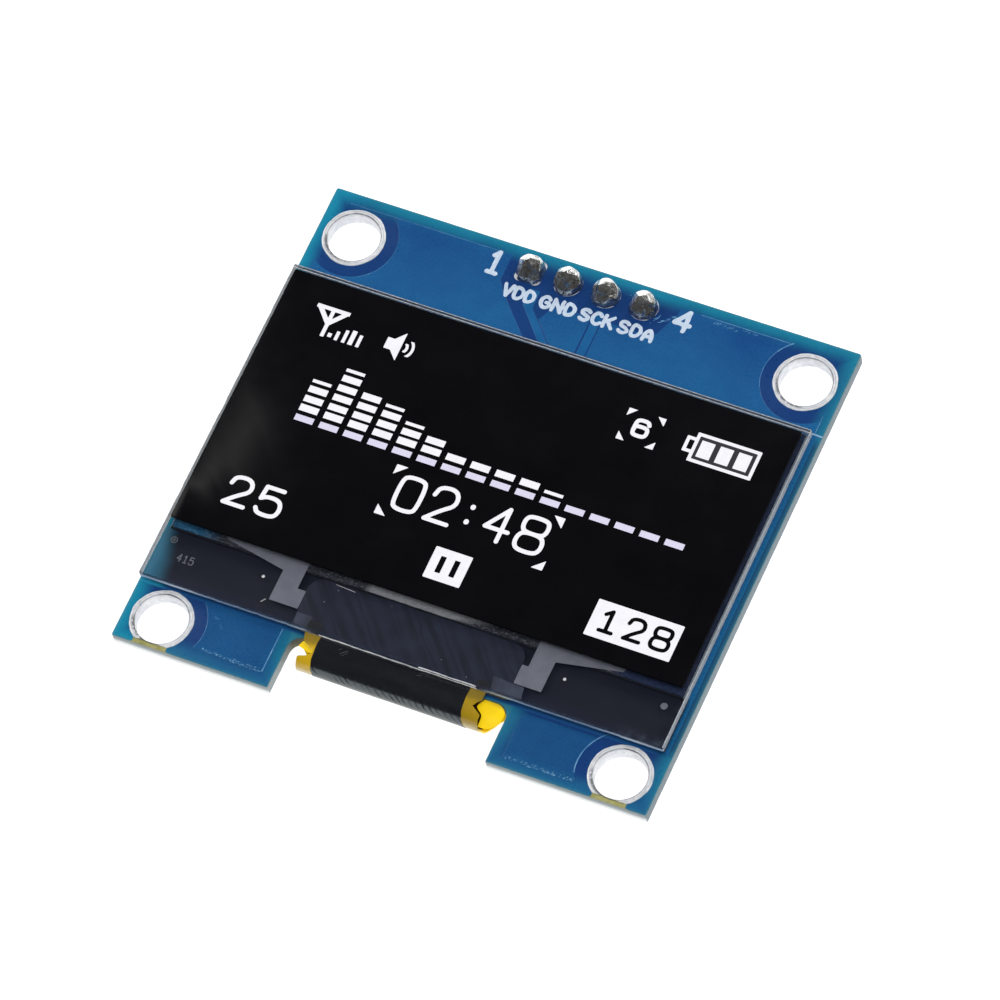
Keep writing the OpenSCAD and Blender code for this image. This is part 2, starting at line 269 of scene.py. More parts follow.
def slim(pts, tol):
    """Drops the points of a closed loop that lie on a straight run."""
    pts = np.asarray(pts)
    n = len(pts)
    if n < 8:
        return pts
    far = int(np.argmax(np.hypot(*(pts - pts[0]).T)))
    keep = np.zeros(n + 1, bool)
    loop = np.vstack([pts, pts[:1]])
    stack = [(0, far), (far, n)]
    keep[[0, far, n]] = True
    while stack:
        i, j = stack.pop()
        if j - i < 2:
            continue
        a, b = loop[i], loop[j]
        s = b - a
        ln = math.hypot(*s)
        q = loop[i + 1:j] - a
        dist = np.abs(q[:, 0] * s[1] - q[:, 1] * s[0]) / ln if ln > 1e-9 else np.hypot(q[:, 0], q[:, 1])
        k = int(np.argmax(dist))
        if dist[k] > tol:
            keep[i + 1 + k] = True
            stack += [(i, i + 1 + k), (i + 1 + k, j)]
    return loop[:-1][keep[:-1]]


def contours(f, x0, x1, y0, y1, h, tol=0.002, least=4, jitter=0.0):
    """Closed loops where f(X, Y) crosses zero, with the inside on the left."""
    nx, ny = int(round((x1 - x0) / h)) + 1, int(round((y1 - y0) / h)) + 1
    xs = x0 + np.arange(nx) * h + 1.7e-5
    ys = y0 + np.arange(ny) * h + 2.3e-5
    X, Y = np.meshgrid(xs, ys)
    D = f(X, Y)
    D = np.where(np.abs(D) < 1e-7, 1e-7, D)
    D[0, :] = np.abs(D[0, :]) + 1e-6
    D[-1, :] = np.abs(D[-1, :]) + 1e-6
    D[:, 0] = np.abs(D[:, 0]) + 1e-6
    D[:, -1] = np.abs(D[:, -1]) + 1e-6
    I = D < 0
    case = (I[:-1, :-1] * 1 + I[:-1, 1:] * 2 + I[1:, 1:] * 4 + I[1:, :-1] * 8)
    js, is_ = np.nonzero((case > 0) & (case < 15))
    nxt, at = {}, {}

    def point(kind, j, i):
        # kind 0: edge along x from (i, j); kind 1: edge along y from (i, j)
        key = (kind, j, i)
        if key not in at:
            a = D[j, i]
            b = D[j, i + 1] if kind == 0 else D[j + 1, i]
            t = a / (a - b)
            at[key] = (xs[i] + (t * h if kind == 0 else 0), ys[j] + (t * h if kind == 1 else 0))
        return key

    for j, i in zip(js.tolist(), is_.tolist()):
        e = (lambda: point(0, j, i), lambda: point(1, j, i + 1),
             lambda: point(0, j + 1, i), lambda: point(1, j, i))
        for a, b in EDGE_CASES[int(case[j, i])]:
            nxt[e[a]()] = e[b]()
    loops = []
    while nxt:
        k0 = next(iter(nxt))
        k, pts = k0, []
        while k in nxt:
            pts.append(at[k])
            k = nxt.pop(k)
        p = slim(np.array(pts), tol)
        if len(p) >= least:
            q = [p[0]]
            for v in p[1:]:
                if math.hypot(v[0] - q[-1][0], v[1] - q[-1][1]) > 0.15 * min(h, 0.02):
                    q.append(v)
            if len(q) >= 3:
                loops.append(np.array(q))
    return loops


def area(p):
    x, y = p[:, 0], p[:, 1]
    return 0.5 * float(np.sum(x * np.roll(y, -1) - np.roll(x, -1) * y))


def within(px, py, loop):
    inside = np.zeros(np.shape(px), bool)
    n = len(loop)
    for i in range(n):
        a, b = loop[i], loop[(i + 1) % n]
        if a[1] != b[1]:
            inside ^= ((py < a[1]) != (py < b[1])) & (px < (b[0] - a[0]) * (py - a[1]) / (b[1] - a[1]) + a[0])
    return inside


def groups(loops):
    """Each outer loop with the holes that lie straight inside it."""
    outs = [p for p in loops if area(p) > 0]
    holes = [p for p in loops if area(p) < 0]
    outs.sort(key=area)
    res = [[o] for o in outs]
    for h in holes:
        for g in res:
            if within(np.array([h[0][0]]), np.array([h[0][1]]), g[0])[0]:
                g.append(h)
                break
    return res


def inset(p, d):
    """Moves a loop towards the side on its left by d."""
    if abs(d) < 1e-9:
        return p
    e = np.roll(p, -1, 0) - p
    n = np.stack([-e[:, 1], e[:, 0]], 1) / np.maximum(np.hypot(e[:, 0], e[:, 1]), 1e-9)[:, None]
    m = np.roll(n, 1, 0)
    k = 1 + np.sum(n * m, 1)
    return p + d * (n + m) / np.maximum(k, 0.35)[:, None]


class Mesh:
    def __init__(self):
        self.v, self.f, self.m = [], [], []

    def add(self, verts, faces, mat=0):
        o = len(self.v)
        self.v.extend((float(a), float(b), float(c)) for a, b, c in verts)
        for f in faces:
            self.f.append(tuple(i + o for i in f))
        self.m.extend([mat] * len(faces) if isinstance(mat, int) else mat)
        return self

    def plate(self, loops, rings, top=0, side=0, bottom=None, lift=None):
        """Solid plate from loops. rings: (inset, z) from the bottom up."""
        for g in groups(loops):
            base = [inset(p, rings[0][0]) for p in g]
            flat = np.vstack(base)
            edges, o = [], 0
            for p in base:
                n = len(p)
                edges += [(o + i, o + (i + 1) % n) for i in range(n)]
                o += n
            r = delaunay_2d_cdt([Vector((a, b)) for a, b in flat], edges, [], 0, 1e-8)
            co, tris, orig = r[0], r[2], r[3]
            back = [q[0] if q else int(np.argmin(np.hypot(flat[:, 0] - co[i][0], flat[:, 1] - co[i][1])))
                    for i, q in enumerate(orig)]
            cen = np.array([[sum(co[i][k] for i in t) / 3 for k in (0, 1)] for t in tris])
            ok = within(cen[:, 0], cen[:, 1], base[0])
            for h in base[1:]:
                ok &= ~within(cen[:, 0], cen[:, 1], h)
            tri = [tuple(back[i] for i in t) for t, k in zip(tris, ok) if k and len({back[i] for i in t}) == 3]
            tri = [t if ((flat[t[1]] - flat[t[0]])[0] * (flat[t[2]] - flat[t[0]])[1]
                         - (flat[t[1]] - flat[t[0]])[1] * (flat[t[2]] - flat[t[0]])[0]) > 0 else (t[0], t[2], t[1]) for t in tri]
            verts, N = [], len(flat)
            for d, z in rings:
                for p in g:
                    for a, b in inset(p, d):
                        verts.append((a, b, z + (lift(a, b) if lift else 0)))
            faces, mats, o = [], [], 0
            for k in range(len(rings) - 1):
                o = 0
                for p in g:
                    n = len(p)
                    for i in range(n):
                        j = (i + 1) % n
                        faces.append((k * N + o + i, k * N + o + j, (k + 1) * N + o + j, (k + 1) * N + o + i))
                        mats.append(side)
                    o += n
            t = (len(rings) - 1) * N
            for a, b, c in tri:
                faces.append((a + t, b + t, c + t))
                mats.append(top)
                faces.append((c, b, a))
                mats.append(side if bottom is None else bottom)
            self.add(verts, faces, mats)
        return self

    def lathe(self, cx, cy, profile, n=48, mat=0, close=False, wobble=None, a0=0.0, a1=2 * math.pi):
        """Turns (r, z) pairs about a vertical axis; a zero radius closes the end."""
        full = abs(a1 - a0 - 2 * math.pi) < 1e-9
        cols = n if full else n + 1
        verts, rows = [], []
        for r, z in profile:
            if r < 1e-9:
                rows.append([len(verts)] * cols)
                verts.append((cx, cy, z))
            else:
                rows.append(list(range(len(verts), len(verts) + cols)))
                for i in range(cols):
                    t = a0 + (a1 - a0) * i / n
                    rr, zz = (r, z) if wobble is None else wobble(t, r, z)
                    verts.append((cx + rr * math.cos(t), cy + rr * math.sin(t), zz))
        faces = []
        pairs = list(zip(rows[:-1], rows[1:])) + ([(rows[-1], rows[0])] if close else [])
        for a, b in pairs:
            for i in range(n):
                j = (i + 1) % cols
                q = [a[i], a[j], b[j], b[i]]
                q = [q[k] for k in range(4) if q[k] != q[k - 1]]
                if len(q) > 2:
                    faces.append(tuple(q))
        return self.add(verts, faces, mat)

    def box(self, x0, x1, y0, y1, z0, z1, b=0.0, mat=0, seg=2):
        """Box with rounded edges, as one closed shell."""
        b = min(b, 0.49 * min(x1 - x0, y1 - y0, z1 - z0))
        bm = bmesh.new()
        bmesh.ops.create_cube(bm, size=1.0)
        for v in bm.verts:
            v.co = Vector(((x0 + x1) / 2 + v.co.x * (x1 - x0), (y0 + y1) / 2 + v.co.y * (y1 - y0),
                           (z0 + z1) / 2 + v.co.z * (z1 - z0)))
        if b > 0:
            bmesh.ops.bevel(bm, geom=bm.edges[:], offset=b, segments=seg, profile=0.6, affect="EDGES")
        bm.verts.index_update()
        self.add([v.co[:] for v in bm.verts], [tuple(v.index for v in f.verts) for f in bm.faces], mat)
        bm.free()
        return self

    def make(self, name, mats, slot, angle=32, replaces=(), weld=2e-8):
        me = bpy.data.meshes.new(name)
        me.from_pydata([(x * MM, y * MM, z * MM) for x, y, z in self.v], [], self.f)
        for m in (mats if isinstance(mats, (list, tuple)) else [mats]):
            me.materials.append(m)
        me.polygons.foreach_set("material_index", self.m)
        bm = bmesh.new()
        bm.from_mesh(me)
        bmesh.ops.remove_doubles(bm, verts=bm.verts, dist=weld)
        bmesh.ops.dissolve_degenerate(bm, edges=bm.edges, dist=1e-9)
        loose = [v for v in bm.verts if not v.link_faces]
        bmesh.ops.delete(bm, geom=loose, context="VERTS")
        bmesh.ops.recalc_face_normals(bm, faces=bm.faces)
        bm.to_mesh(me)
        bm.free()
        me.polygons.foreach_set("use_smooth", [True] * len(me.polygons))
        me.set_sharp_from_angle(angle=math.radians(angle))
        me.update()
        ob = bpy.data.objects.new(name, me)
        bpy.context.scene.collection.objects.link(ob)
        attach(ob, "root")
        if replaces:
            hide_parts(*replaces)
        return ob


def soft_edge(z0, z1, b, seg=3, low=0.0):
    """Rings of a plate whose upper edge is rounded by b, lower by low."""
    r = [(low, z0), (0.0, z0 + low)] if low > 0 else [(0.0, z0)]
    for i in range(seg + 1):
        a = math.pi / 2 * i / seg
        r.append((b * (1 - math.cos(a)), z1 - b + b * math.sin(a)))
    return r


# ------------------------------------------------------------ materials
def edge_distance(N):
    """Distance in mm from the board's outline, including the notch."""
    x, y, z = N.xyz()
    ax = N.math("ABSOLUTE", x)
    d = N.math("SUBTRACT", BX1, ax)
    d = N.math("MINIMUM", d, N.math("SUBTRACT", y, BY0))
    d = N.math("MINIMUM", d, N.math("SUBTRACT", BY1, y))
    dn = N.math("MAXIMUM", N.math("SUBTRACT", ax, NOTCH_W / 2), N.math("SUBTRACT", y, NOTCH_TOP))
    return N.math("MINIMUM", d, dn), x, y, z


def mask_bare():
    """Solder mask straight on the laminate: navy, teal towards the cut edges with painted light right along them,
    painted shade beside the glass's right edge, and painted light in the shadowed strip under the glass's near edge.
    """
    N = Nodes("mask_on_laminate", Roughness=0.3, IOR=1.5, Specular_IOR_Level=0.32)
    d, x, y, z = edge_distance(N)
    wob = N.math("MULTIPLY", N.math("SUBTRACT", N.noise(0.35, 3), 0.5), 0.9)
    t = N.rng(N.math("ADD", d, wob), 0.1, 1.35, 0.0, 1.0, True)
    left = N.rng(x, -14.0, -17.0, 0.0, 1.0, True)
    teal = N.mix(left, srgb(27, 108, 142), srgb(24, 134, 166))
    teal = N.mix(N.math("MULTIPLY", N.rng(y, 15.2, 16.8), N.rng(x, -16.6, -14.2)), teal, srgb(24, 122, 152))
    teal = N.mix(N.math("MULTIPLY", N.rng(y, -14.0, -15.6), N.rng(x, -15.5, -12.5)), teal, srgb(30, 97, 140))
    navy = N.mix(N.noise(0.5, 2), srgb(17, 54, 112), srgb(22, 64, 122))
    col = N.mix(t, teal, navy)
    # painted shade: a darker strip of board along the glass's right edge
    side = N.math("MULTIPLY", N.rng(x, 16.9, 17.25), N.math("MULTIPLY", N.rng(y, -12.3, -11.6), N.rng(y, 10.9, 10.2)))
    col = N.mix(N.math("MULTIPLY", side, 0.8), col, srgb(27, 68, 106))
    # painted light: the strip of board shadowed under the glass's near edge is lightened (front face only)
    gap = N.math("MULTIPLY", N.rng(y, -12.34, -12.22), N.rng(y, -11.6, -11.75))
    gap = N.math("MULTIPLY", N.math("MULTIPLY", gap, N.rng(z, 0.4, 0.6)), N.rng(x, 16.9, 16.5))
    col = N.mix(gap, col, N.mix(N.rng(x, -15.8, -16.4), srgb(31, 84, 142), srgb(38, 140, 176)))
    # painted light: a lighter rim right along the cut edge, where light catches it
    glow = N.rng(d, 0.0, 0.22, 0.4, 0.0)
    col = N.mix(glow, col, srgb(70, 140, 150))
    N.set("Base Color", col)
    N.set("Roughness", N.rng(N.noise(4.0, 3), 0.3, 0.7, 0.26, 0.36))
    N.bump(N.noise(1.5, 2, 0.5), 0.1, 0.02)
    return N.mat


def mask_copper():
    """Solder mask over the copper fields: clear mid blue, with painted light in the shadowed strip under the glass's
    near edge.
    """
    N = Nodes("mask_on_copper", Roughness=0.27, IOR=1.5, Specular_IOR_Level=0.32)
    d, x, y, z = edge_distance(N)
    down = N.rng(y, 16.4, 11.6, 0.0, 1.0)
    tabs = N.rng(y, -11.0, -12.0, 0.0, 1.0)
    band = N.mix(N.math("MULTIPLY", down, 0.9), srgb(21, 72, 131), srgb(30, 93, 146))
    col = N.mix(tabs, band, srgb(24, 73, 124))
    # painted light: the strip of board shadowed under the glass's near edge is lightened (front face only)
    gap = N.math("MULTIPLY", N.rng(y, -12.34, -12.22), N.rng(y, -11.6, -11.75))
    gap = N.math("MULTIPLY", gap, N.rng(z, 0.4, 0.6))
    col = N.mix(gap, col, srgb(33, 94, 154))
    col = N.mix(N.rng(N.noise(0.22, 3, 0.55), 0.35, 0.7), col, N.mix(0.5, col, srgb(33, 100, 152)))
    col = N.mix(N.rng(N.noise(0.9, 3, 0.5, dist=0.6), 0.4, 0.75, 0.0, 0.25), col, srgb(17, 66, 125))
    rim = N.rng(d, 0.0, 1.3, 0.35, 0.0)
    col = N.mix(rim, col, srgb(26, 112, 148))
    N.set("Base Color", col)
    N.set("Roughness", N.rng(N.noise(5.0, 3), 0.3, 0.7, 0.24, 0.34))
    N.bump(N.noise(1.1, 2, 0.5), 0.12, 0.02)
    return N.mat


def mask_trace():
    """The same mask over narrow conductors, a little lighter."""
    N = Nodes("mask_on_traces", Roughness=0.27, IOR=1.5, Specular_IOR_Level=0.32)
    n = N.noise(1.2, 3, 0.55)
    N.set("Base Color", N.mix(N.rng(n, 0.3, 0.7), srgb(24, 88, 142), srgb(31, 97, 150)))
    N.bump(n, 0.1, 0.02)
    return N.mat


def painted_highlight_ridge(speckle):
    """Thin mask on the shoulder of a copper field, coloured light blue as a painted highlight where light catches it;
    the speckled kind is painted glints.
    """
    N = Nodes("painted_glint_ridge_speckled" if speckle else "painted_highlight_ridge", Roughness=0.25)
    n = N.noise(7.5 if speckle else 1.6, 3, 0.6, vec=N.scaled(1, 1.0, 1, rot=(0, 0, 0.5)))
    lo, hi = (0.4, 0.62) if speckle else (0.3, 0.75)
    col = N.ramp(N.rng(n, lo, hi), [(0.0, srgb(34, 90, 140)), (0.5, srgb(66, 122, 166)), (1.0, srgb(132, 172, 202))]
                 if speckle else [(0.0, srgb(58, 116, 168)), (1.0, srgb(118, 168, 206))])
    N.set("Base Color", col)
    N.bump(n, 0.4, 0.02)
    return N.mat


def laminate():
    """Cut edge and bare faces of the glass-fibre laminate, with painted light on the near side face and painted shade
    on the right side face and at the top of the notch.
    """
    N = Nodes("laminate", Roughness=0.62)
    x, y, z = N.xyz()
    layers = N.wave(1.9, 1.2, vec=N.scaled(0.15, 0.15, 2.2), direction="Z", detail=3)
    col = N.ramp(layers, [(0.0, srgb(118, 132, 138)), (0.5, srgb(146, 158, 164)), (1.0, srgb(172, 181, 184))])
    fib = N.noise(14.0, 4, 0.7, vec=N.scaled(1, 1, 0.5))
    col = N.mix(N.rng(fib, 0.35, 0.7, 0.0, 0.5), col, srgb(184, 190, 190))
    # painted light: the near (bottom) side face is painted near-white
    front = N.math("MULTIPLY", N.rng(y, BY0 + 0.12, BY0 + 0.02), N.rng(z, 0.75, 0.15, 0.0, 1.0, True))
    col = N.mix(front, col, srgb(244, 246, 246))
    # painted shade: the right side face, below its top edge, is darkened
    right = N.math("MULTIPLY", N.rng(x, 17.6, 17.68), N.rng(z, 0.97, 0.93))
    col = N.mix(N.math("MULTIPLY", right, 0.64), col, srgb(106, 126, 136))
    ax = N.math("ABSOLUTE", x)
    # painted shade: the cut face at the top of the notch, under the glass beside the roll, is darkened
    notch_shade = N.math("MULTIPLY", N.rng(y, -13.6, -12.7, 0.0, 1.0, True), N.rng(ax, 7.6, 7.1))
    notch_shade = N.math("MULTIPLY", notch_shade, N.rng(y, -12.2, -12.35))
    shade = N.mix(N.rng(z, 1.0, 0.2), srgb(52, 66, 62), srgb(104, 98, 48))
    col = N.mix(N.math("MULTIPLY", notch_shade, 0.85), col, shade)
    face = N.math("MINIMUM", N.rng(z, 0.9, 0.96), 1.0)
    bare = N.mix(N.rng(N.noise(2.5, 3), 0.3, 0.7), srgb(140, 138, 78), srgb(172, 168, 112))
    near = N.math("MULTIPLY", N.rng(y, -15.1, -15.3), N.math("MULTIPLY", N.rng(ax, 13.8, 14.0), N.rng(ax, 16.6, 16.4)))
    rest = N.mix(N.rng(N.noise(3.0, 3), 0.3, 0.7), srgb(52, 112, 126), srgb(84, 136, 144))
    col = N.mix(face, col, N.mix(near, rest, bare))
    N.set("Base Color", col)
    # painted glow: the near (bottom) side face also emits, standing for the light it catches
    N.set("Emission Color", N.mix(front, (0.0, 0.0, 0.0), (0.2, 0.204, 0.204)))
    N.b.inputs["Emission Strength"].default_value = 1.0
    N.set("Roughness", N.rng(fib, 0.3, 0.7, 0.5, 0.75))
    N.bump(N.math("ADD", fib, N.math("MULTIPLY", layers, 0.5)), 0.35, 0.03)
    return N.mat


def legend():
    N = Nodes("legend_ink", Roughness=0.5)
    n = N.noise(6.0, 4, 0.6)
    N.set("Base Color", N.mix(N.rng(n, 0.3, 0.7), srgb(188, 206, 228), srgb(208, 222, 238)))
    N.bump(N.noise(18.0, 3), 0.25, 0.01)
    return N.mat


def legend_thin():
    """The same ink where it is thin and the blue shows through."""
    N = Nodes("legend_ink_thin", Roughness=0.5)
    n = N.noise(2.5, 4, 0.6)
    N.set("Base Color", N.mix(N.rng(n, 0.3, 0.7), srgb(112, 150, 190), srgb(158, 188, 216)))
    N.bump(N.noise(12.0, 3), 0.25, 0.01)
    return N.mat


def tinned():
    """Hot-levelled tin: bright, soft dull patches and fine ripples."""
    N = Nodes("tinned_copper", Metallic=0.45)
    n = N.noise(2.2, 4, 0.6, dist=0.4)
    N.set("Base Color", N.mix(N.rng(n, 0.3, 0.7), srgb(206, 209, 216), srgb(240, 240, 243)))
    N.set("Roughness", N.rng(N.noise(3.0, 3, 0.5), 0.3, 0.7, 0.3, 0.45))
    N.bump(N.noise(2.0, 2, 0.5, dist=0.3), 0.35, 0.03)
    return N.mat


def ring_tin():
    """Plated rims: bright, with a thin grey line on the lip, painted shade in the fine crease inside the lip (wider and
    darker on the far side), and patches of painted shade on the near lower-left part of each rim.
    """
    N = Nodes("ring_rim_tin", Metallic=0.2)
    x, y, z = N.xyz()
    sy = N.math("SIGN", y)
    dx = N.math("SUBTRACT", x, N.math("MULTIPLY", N.math("SIGN", x), 15.2))
    dy = N.math("SUBTRACT", y, N.math("MULTIPLY", sy, 14.25))
    r = N.math("SQRT", N.math("ADD", N.math("MULTIPLY", dx, dx), N.math("MULTIPLY", dy, dy)))
    r = N.math("ADD", r, N.math("MULTIPLY", N.math("SUBTRACT", N.noise(1.6, 3, 0.6), 0.5), 0.07))
    n = N.noise(2.2, 4, 0.6, dist=0.4)
    col = N.mix(N.rng(n, 0.3, 0.7), srgb(208, 212, 219), srgb(248, 249, 251))
    patch = N.rng(N.noise(0.9, 3, 0.6), 0.4, 0.58)
    top = N.rng(z, 0.9, 1.0)
    # painted shade: a thin dark line in the crease inside the lip, wider and darker on the far side
    off = N.math("ABSOLUTE", N.math("SUBTRACT", r, 1.715))
    inner = N.math("MAXIMUM", N.rng(off, 0.03, 0.008), N.math("MULTIPLY", N.rng(off, 0.055, 0.012), N.rng(dy, 0.2, 1.4)))
    inner = N.math("MULTIPLY", N.math("MULTIPLY", inner, top), N.rng(patch, 0.0, 1.0, 0.45, 1.0))
    col = N.mix(inner, col, N.mix(N.rng(dy, 0.2, 1.4), srgb(112, 112, 120), srgb(72, 72, 82)))
    outer = N.rng(N.math("ABSOLUTE", N.math("SUBTRACT", r, 1.865)), 0.026, 0.006)
    outer = N.math("MULTIPLY", N.math("MULTIPLY", outer, top), N.rng(patch, 0.0, 1.0, 0.2, 0.75))
    col = N.mix(outer, col, srgb(164, 166, 174))
    # painted shade: dark patches on the near lower-left part of each rim
    aim = N.math("ADD", N.math("MULTIPLY", dx, 0.6), N.math("MULTIPLY", dy, 0.9))
    low = N.math("MULTIPLY", N.rng(aim, -1.1, -1.5), N.math("MULTIPLY", N.rng(r, 1.86, 1.8), top))
    low = N.math("MULTIPLY", low, N.rng(N.noise(2.6, 4, 0.65, dist=0.5), 0.38, 0.5))
    col = N.mix(N.math("MULTIPLY", low, 0.85), col, srgb(104, 104, 108))
    N.set("Base Color", col)
    N.set("Roughness", N.rng(N.noise(3.0, 3, 0.5), 0.3, 0.7, 0.3, 0.45))
    N.bump(N.noise(2.0, 2, 0.5, dist=0.3), 0.3, 0.03)
    return N.mat


def solder():
    """Hand-soldered joints: mirror bright with grain and flux-tinted hollows, a painted dark reflection in a band below
    the middle, painted shade in thin crease lines, and a painted white highlight just above the middle.
    """
    N = Nodes("solder_joint", Metallic=0.94)
    x, y, z = N.xyz()
    g = N.voronoi(5.5, vec=N.scaled(1, 1, 1, rot=(0.3, 0.2, 0.4)))
    n = N.noise(2.6, 5, 0.62, dist=0.8)
    col = N.mix(N.rng(n, 0.35, 0.68), srgb(206, 205, 200), srgb(244, 244, 242))
    lx = N.math("SUBTRACT", N.math("MODULO", N.math("ADD", x, 5.08), 2.54), 1.27)
    ly = N.math("SUBTRACT", y, 15.75)
    slot = N.math("MULTIPLY", N.math("SUBTRACT", N.noise(1.1, 3, 0.6, dist=0.8), 0.5), 1.1)
    front = N.rng(y, 13.5, 14.0)
    # painted dark reflection: a band below the middle of each joint
    core = N.math("ADD", N.math("ADD", N.math("MULTIPLY", lx, -0.25), N.math("MULTIPLY", ly, 1.0)), slot)
    dark = N.math("MULTIPLY", N.rng(core, -0.1, -0.36), N.rng(core, -0.95, -0.6))
    # painted shade: thin dark crease lines over the lower part of each joint
    crease_shade_lines = N.rng(N.math("ABSOLUTE", N.math("SUBTRACT", N.noise(1.5, 3, 0.55, dist=1.6), 0.5)), 0.035, 0.01)
    crease_shade_lines = N.math("MULTIPLY", crease_shade_lines, N.rng(ly, 0.62, 0.1))
    dark = N.math("MULTIPLY", N.math("MAXIMUM", N.math("MULTIPLY", dark, 0.5), N.math("MULTIPLY", crease_shade_lines, 0.9)), front)
    col = N.mix(dark, col, N.mix(N.rng(n, 0.35, 0.65), srgb(52, 50, 46), srgb(112, 108, 100)))
    # painted highlight: white just above the middle of each joint
    top_highlight = N.math("MULTIPLY", N.math("MULTIPLY", N.rng(core, 0.0, 0.3), N.rng(lx, 0.6, 0.0)), front)
    col = N.mix(top_highlight, col, srgb(255, 255, 255))
    flux = N.math("MULTIPLY", N.rng(N.noise(1.7, 3, 0.6, dist=1.0), 0.5, 0.7), N.rng(z, 1.75, 1.05))
    col = N.mix(N.math("MULTIPLY", flux, 0.35), col, srgb(104, 100, 84))
    N.set("Base Color", col)
    N.set("Roughness", N.rng(N.math("ADD", N.math("MULTIPLY", g, 0.5), N.math("MULTIPLY", n, 0.6)), 0.3, 0.8, 0.12, 0.27))
    N.bump(N.math("ADD", N.math("MULTIPLY", N.noise(1.5, 1, 0.4, dist=0.5), 1.5), N.math("MULTIPLY", n, 0.12)), 0.75, 0.11)
    return N.mat


def ground_glass():
    """Cut and ground glass edge: frosty, chipped, light grey."""
    N = Nodes("ground_glass_edge", Roughness=0.35, IOR=1.5, Alpha=0.82)
    n = N.noise(9.0, 4, 0.7, vec=N.scaled(0.6, 0.6, 2.2))
    c = N.noise(1.3, 3, 0.6)
    col = N.ramp(N.rng(n, 0.3, 0.7), [(0.0, srgb(104, 112, 124)), (0.55, srgb(150, 158, 168)), (1.0, srgb(206, 210, 214))])
    col = N.mix(N.rng(c, 0.4, 0.7, 0.0, 0.35), col, srgb(120, 140, 165))
    N.set("Base Color", col)
    N.bump(n, 0.4, 0.03)
    return N.mat


def ground_glass_dark():
    """The near cut edge: the dark ledge shows through, with a light lower rim."""
    N = Nodes("ground_glass_near_edge", Roughness=0.4, IOR=1.5)
    x, y, z = N.xyz()
    n = N.noise(5.0, 4, 0.7, vec=N.scaled(0.6, 0.6, 2.2))
    col = N.mix(N.rng(n, 0.35, 0.7), srgb(38, 44, 60), srgb(66, 76, 98))
    rim = N.math("MULTIPLY", N.rng(z, GZ0 + 0.42, GZ0 + 0.24, 0.0, 1.0, True),
                 N.rng(N.math("ABSOLUTE", N.math("ADD", x, 0.25)), 5.4, 6.3))
    col = N.mix(rim, col, N.mix(N.rng(n, 0.35, 0.7), srgb(140, 164, 194), srgb(176, 194, 216)))
    N.set("Base Color", col)
    N.set("Alpha", N.rng(rim, 0.0, 1.0, 0.6, 1.0))
    N.set("Specular IOR Level", N.rng(rim, 0.0, 1.0, 0.03, 0.5))
    N.bump(n, 0.3, 0.03)
    return N.mat


def rear_glass_edge():
    """Near cut edge of the rear glass, painted dark as shade under the ledge."""
    N = Nodes("rear_glass_near_edge", Roughness=0.5, IOR=1.5)
    n = N.noise(5.0, 4, 0.7, vec=N.scaled(0.6, 0.6, 2.2))
    N.set("Base Color", N.mix(N.rng(n, 0.35, 0.7), srgb(28, 30, 38), srgb(42, 45, 56)))
    N.bump(n, 0.3, 0.03)
    return N.mat


def frost_line():
    N = Nodes("ground_glass_corner", Roughness=0.4, IOR=1.5)
    n = N.noise(3.5, 4, 0.7)
    N.set("Base Color", N.mix(N.rng(n, 0.3, 0.7), srgb(128, 134, 142), srgb(196, 200, 204)))
    N.bump(n, 0.3, 0.03)
    return N.mat


def clear_glass(name, tint, alpha):
    N = Nodes(name, IOR=1.5, Alpha=alpha)
    N.set("Base Color", N.mix(N.rng(N.noise(0.3, 2), 0.3, 0.7), tint, tuple(c * 0.88 for c in tint)))
    N.set("Roughness", N.rng(N.noise(1.5, 3), 0.3, 0.7, 0.03, 0.07))
    return N.mat


def film_black():
    N = Nodes("polarizer_film", IOR=1.45, Specular_IOR_Level=0.22)
    n = N.noise(0.35, 3, 0.6)
    N.set("Base Color", N.mix(N.rng(n, 0.3, 0.7), srgb(7, 7, 10), srgb(11, 11, 14)))
    N.set("Roughness", N.rng(N.noise(0.8, 3), 0.3, 0.7, 0.17, 0.22))
    N.bump(N.noise(5.0, 3), 0.02, 0.01)
    return N.mat


def lit(name, warm, strength):
    """Glowing picture elements behind the film, with the faint pixel pitch."""
    N = Nodes(name, Roughness=0.35)
    N.b.inputs["Base Color"].default_value = (0.02, 0.02, 0.02, 1)
    x, y, z = N.xyz()
    gx = N.math("PINGPONG", x, 0.115)
    gy = N.math("PINGPONG", y, 0.115)
    line = N.math("MINIMUM", gx, gy)
    dim = N.rng(line, 0.0, 0.028, 0.93, 1.0, True)
    n = N.rng(N.noise(1.6, 2), 0.3, 0.7, 0.94, 1.0)
    f = N.math("MULTIPLY", dim, n)
    col = N.mix(f, (0, 0, 0), warm)
    N.set("Emission Color", col)
    N.b.inputs["Emission Strength"].default_value = strength
    return N.mat


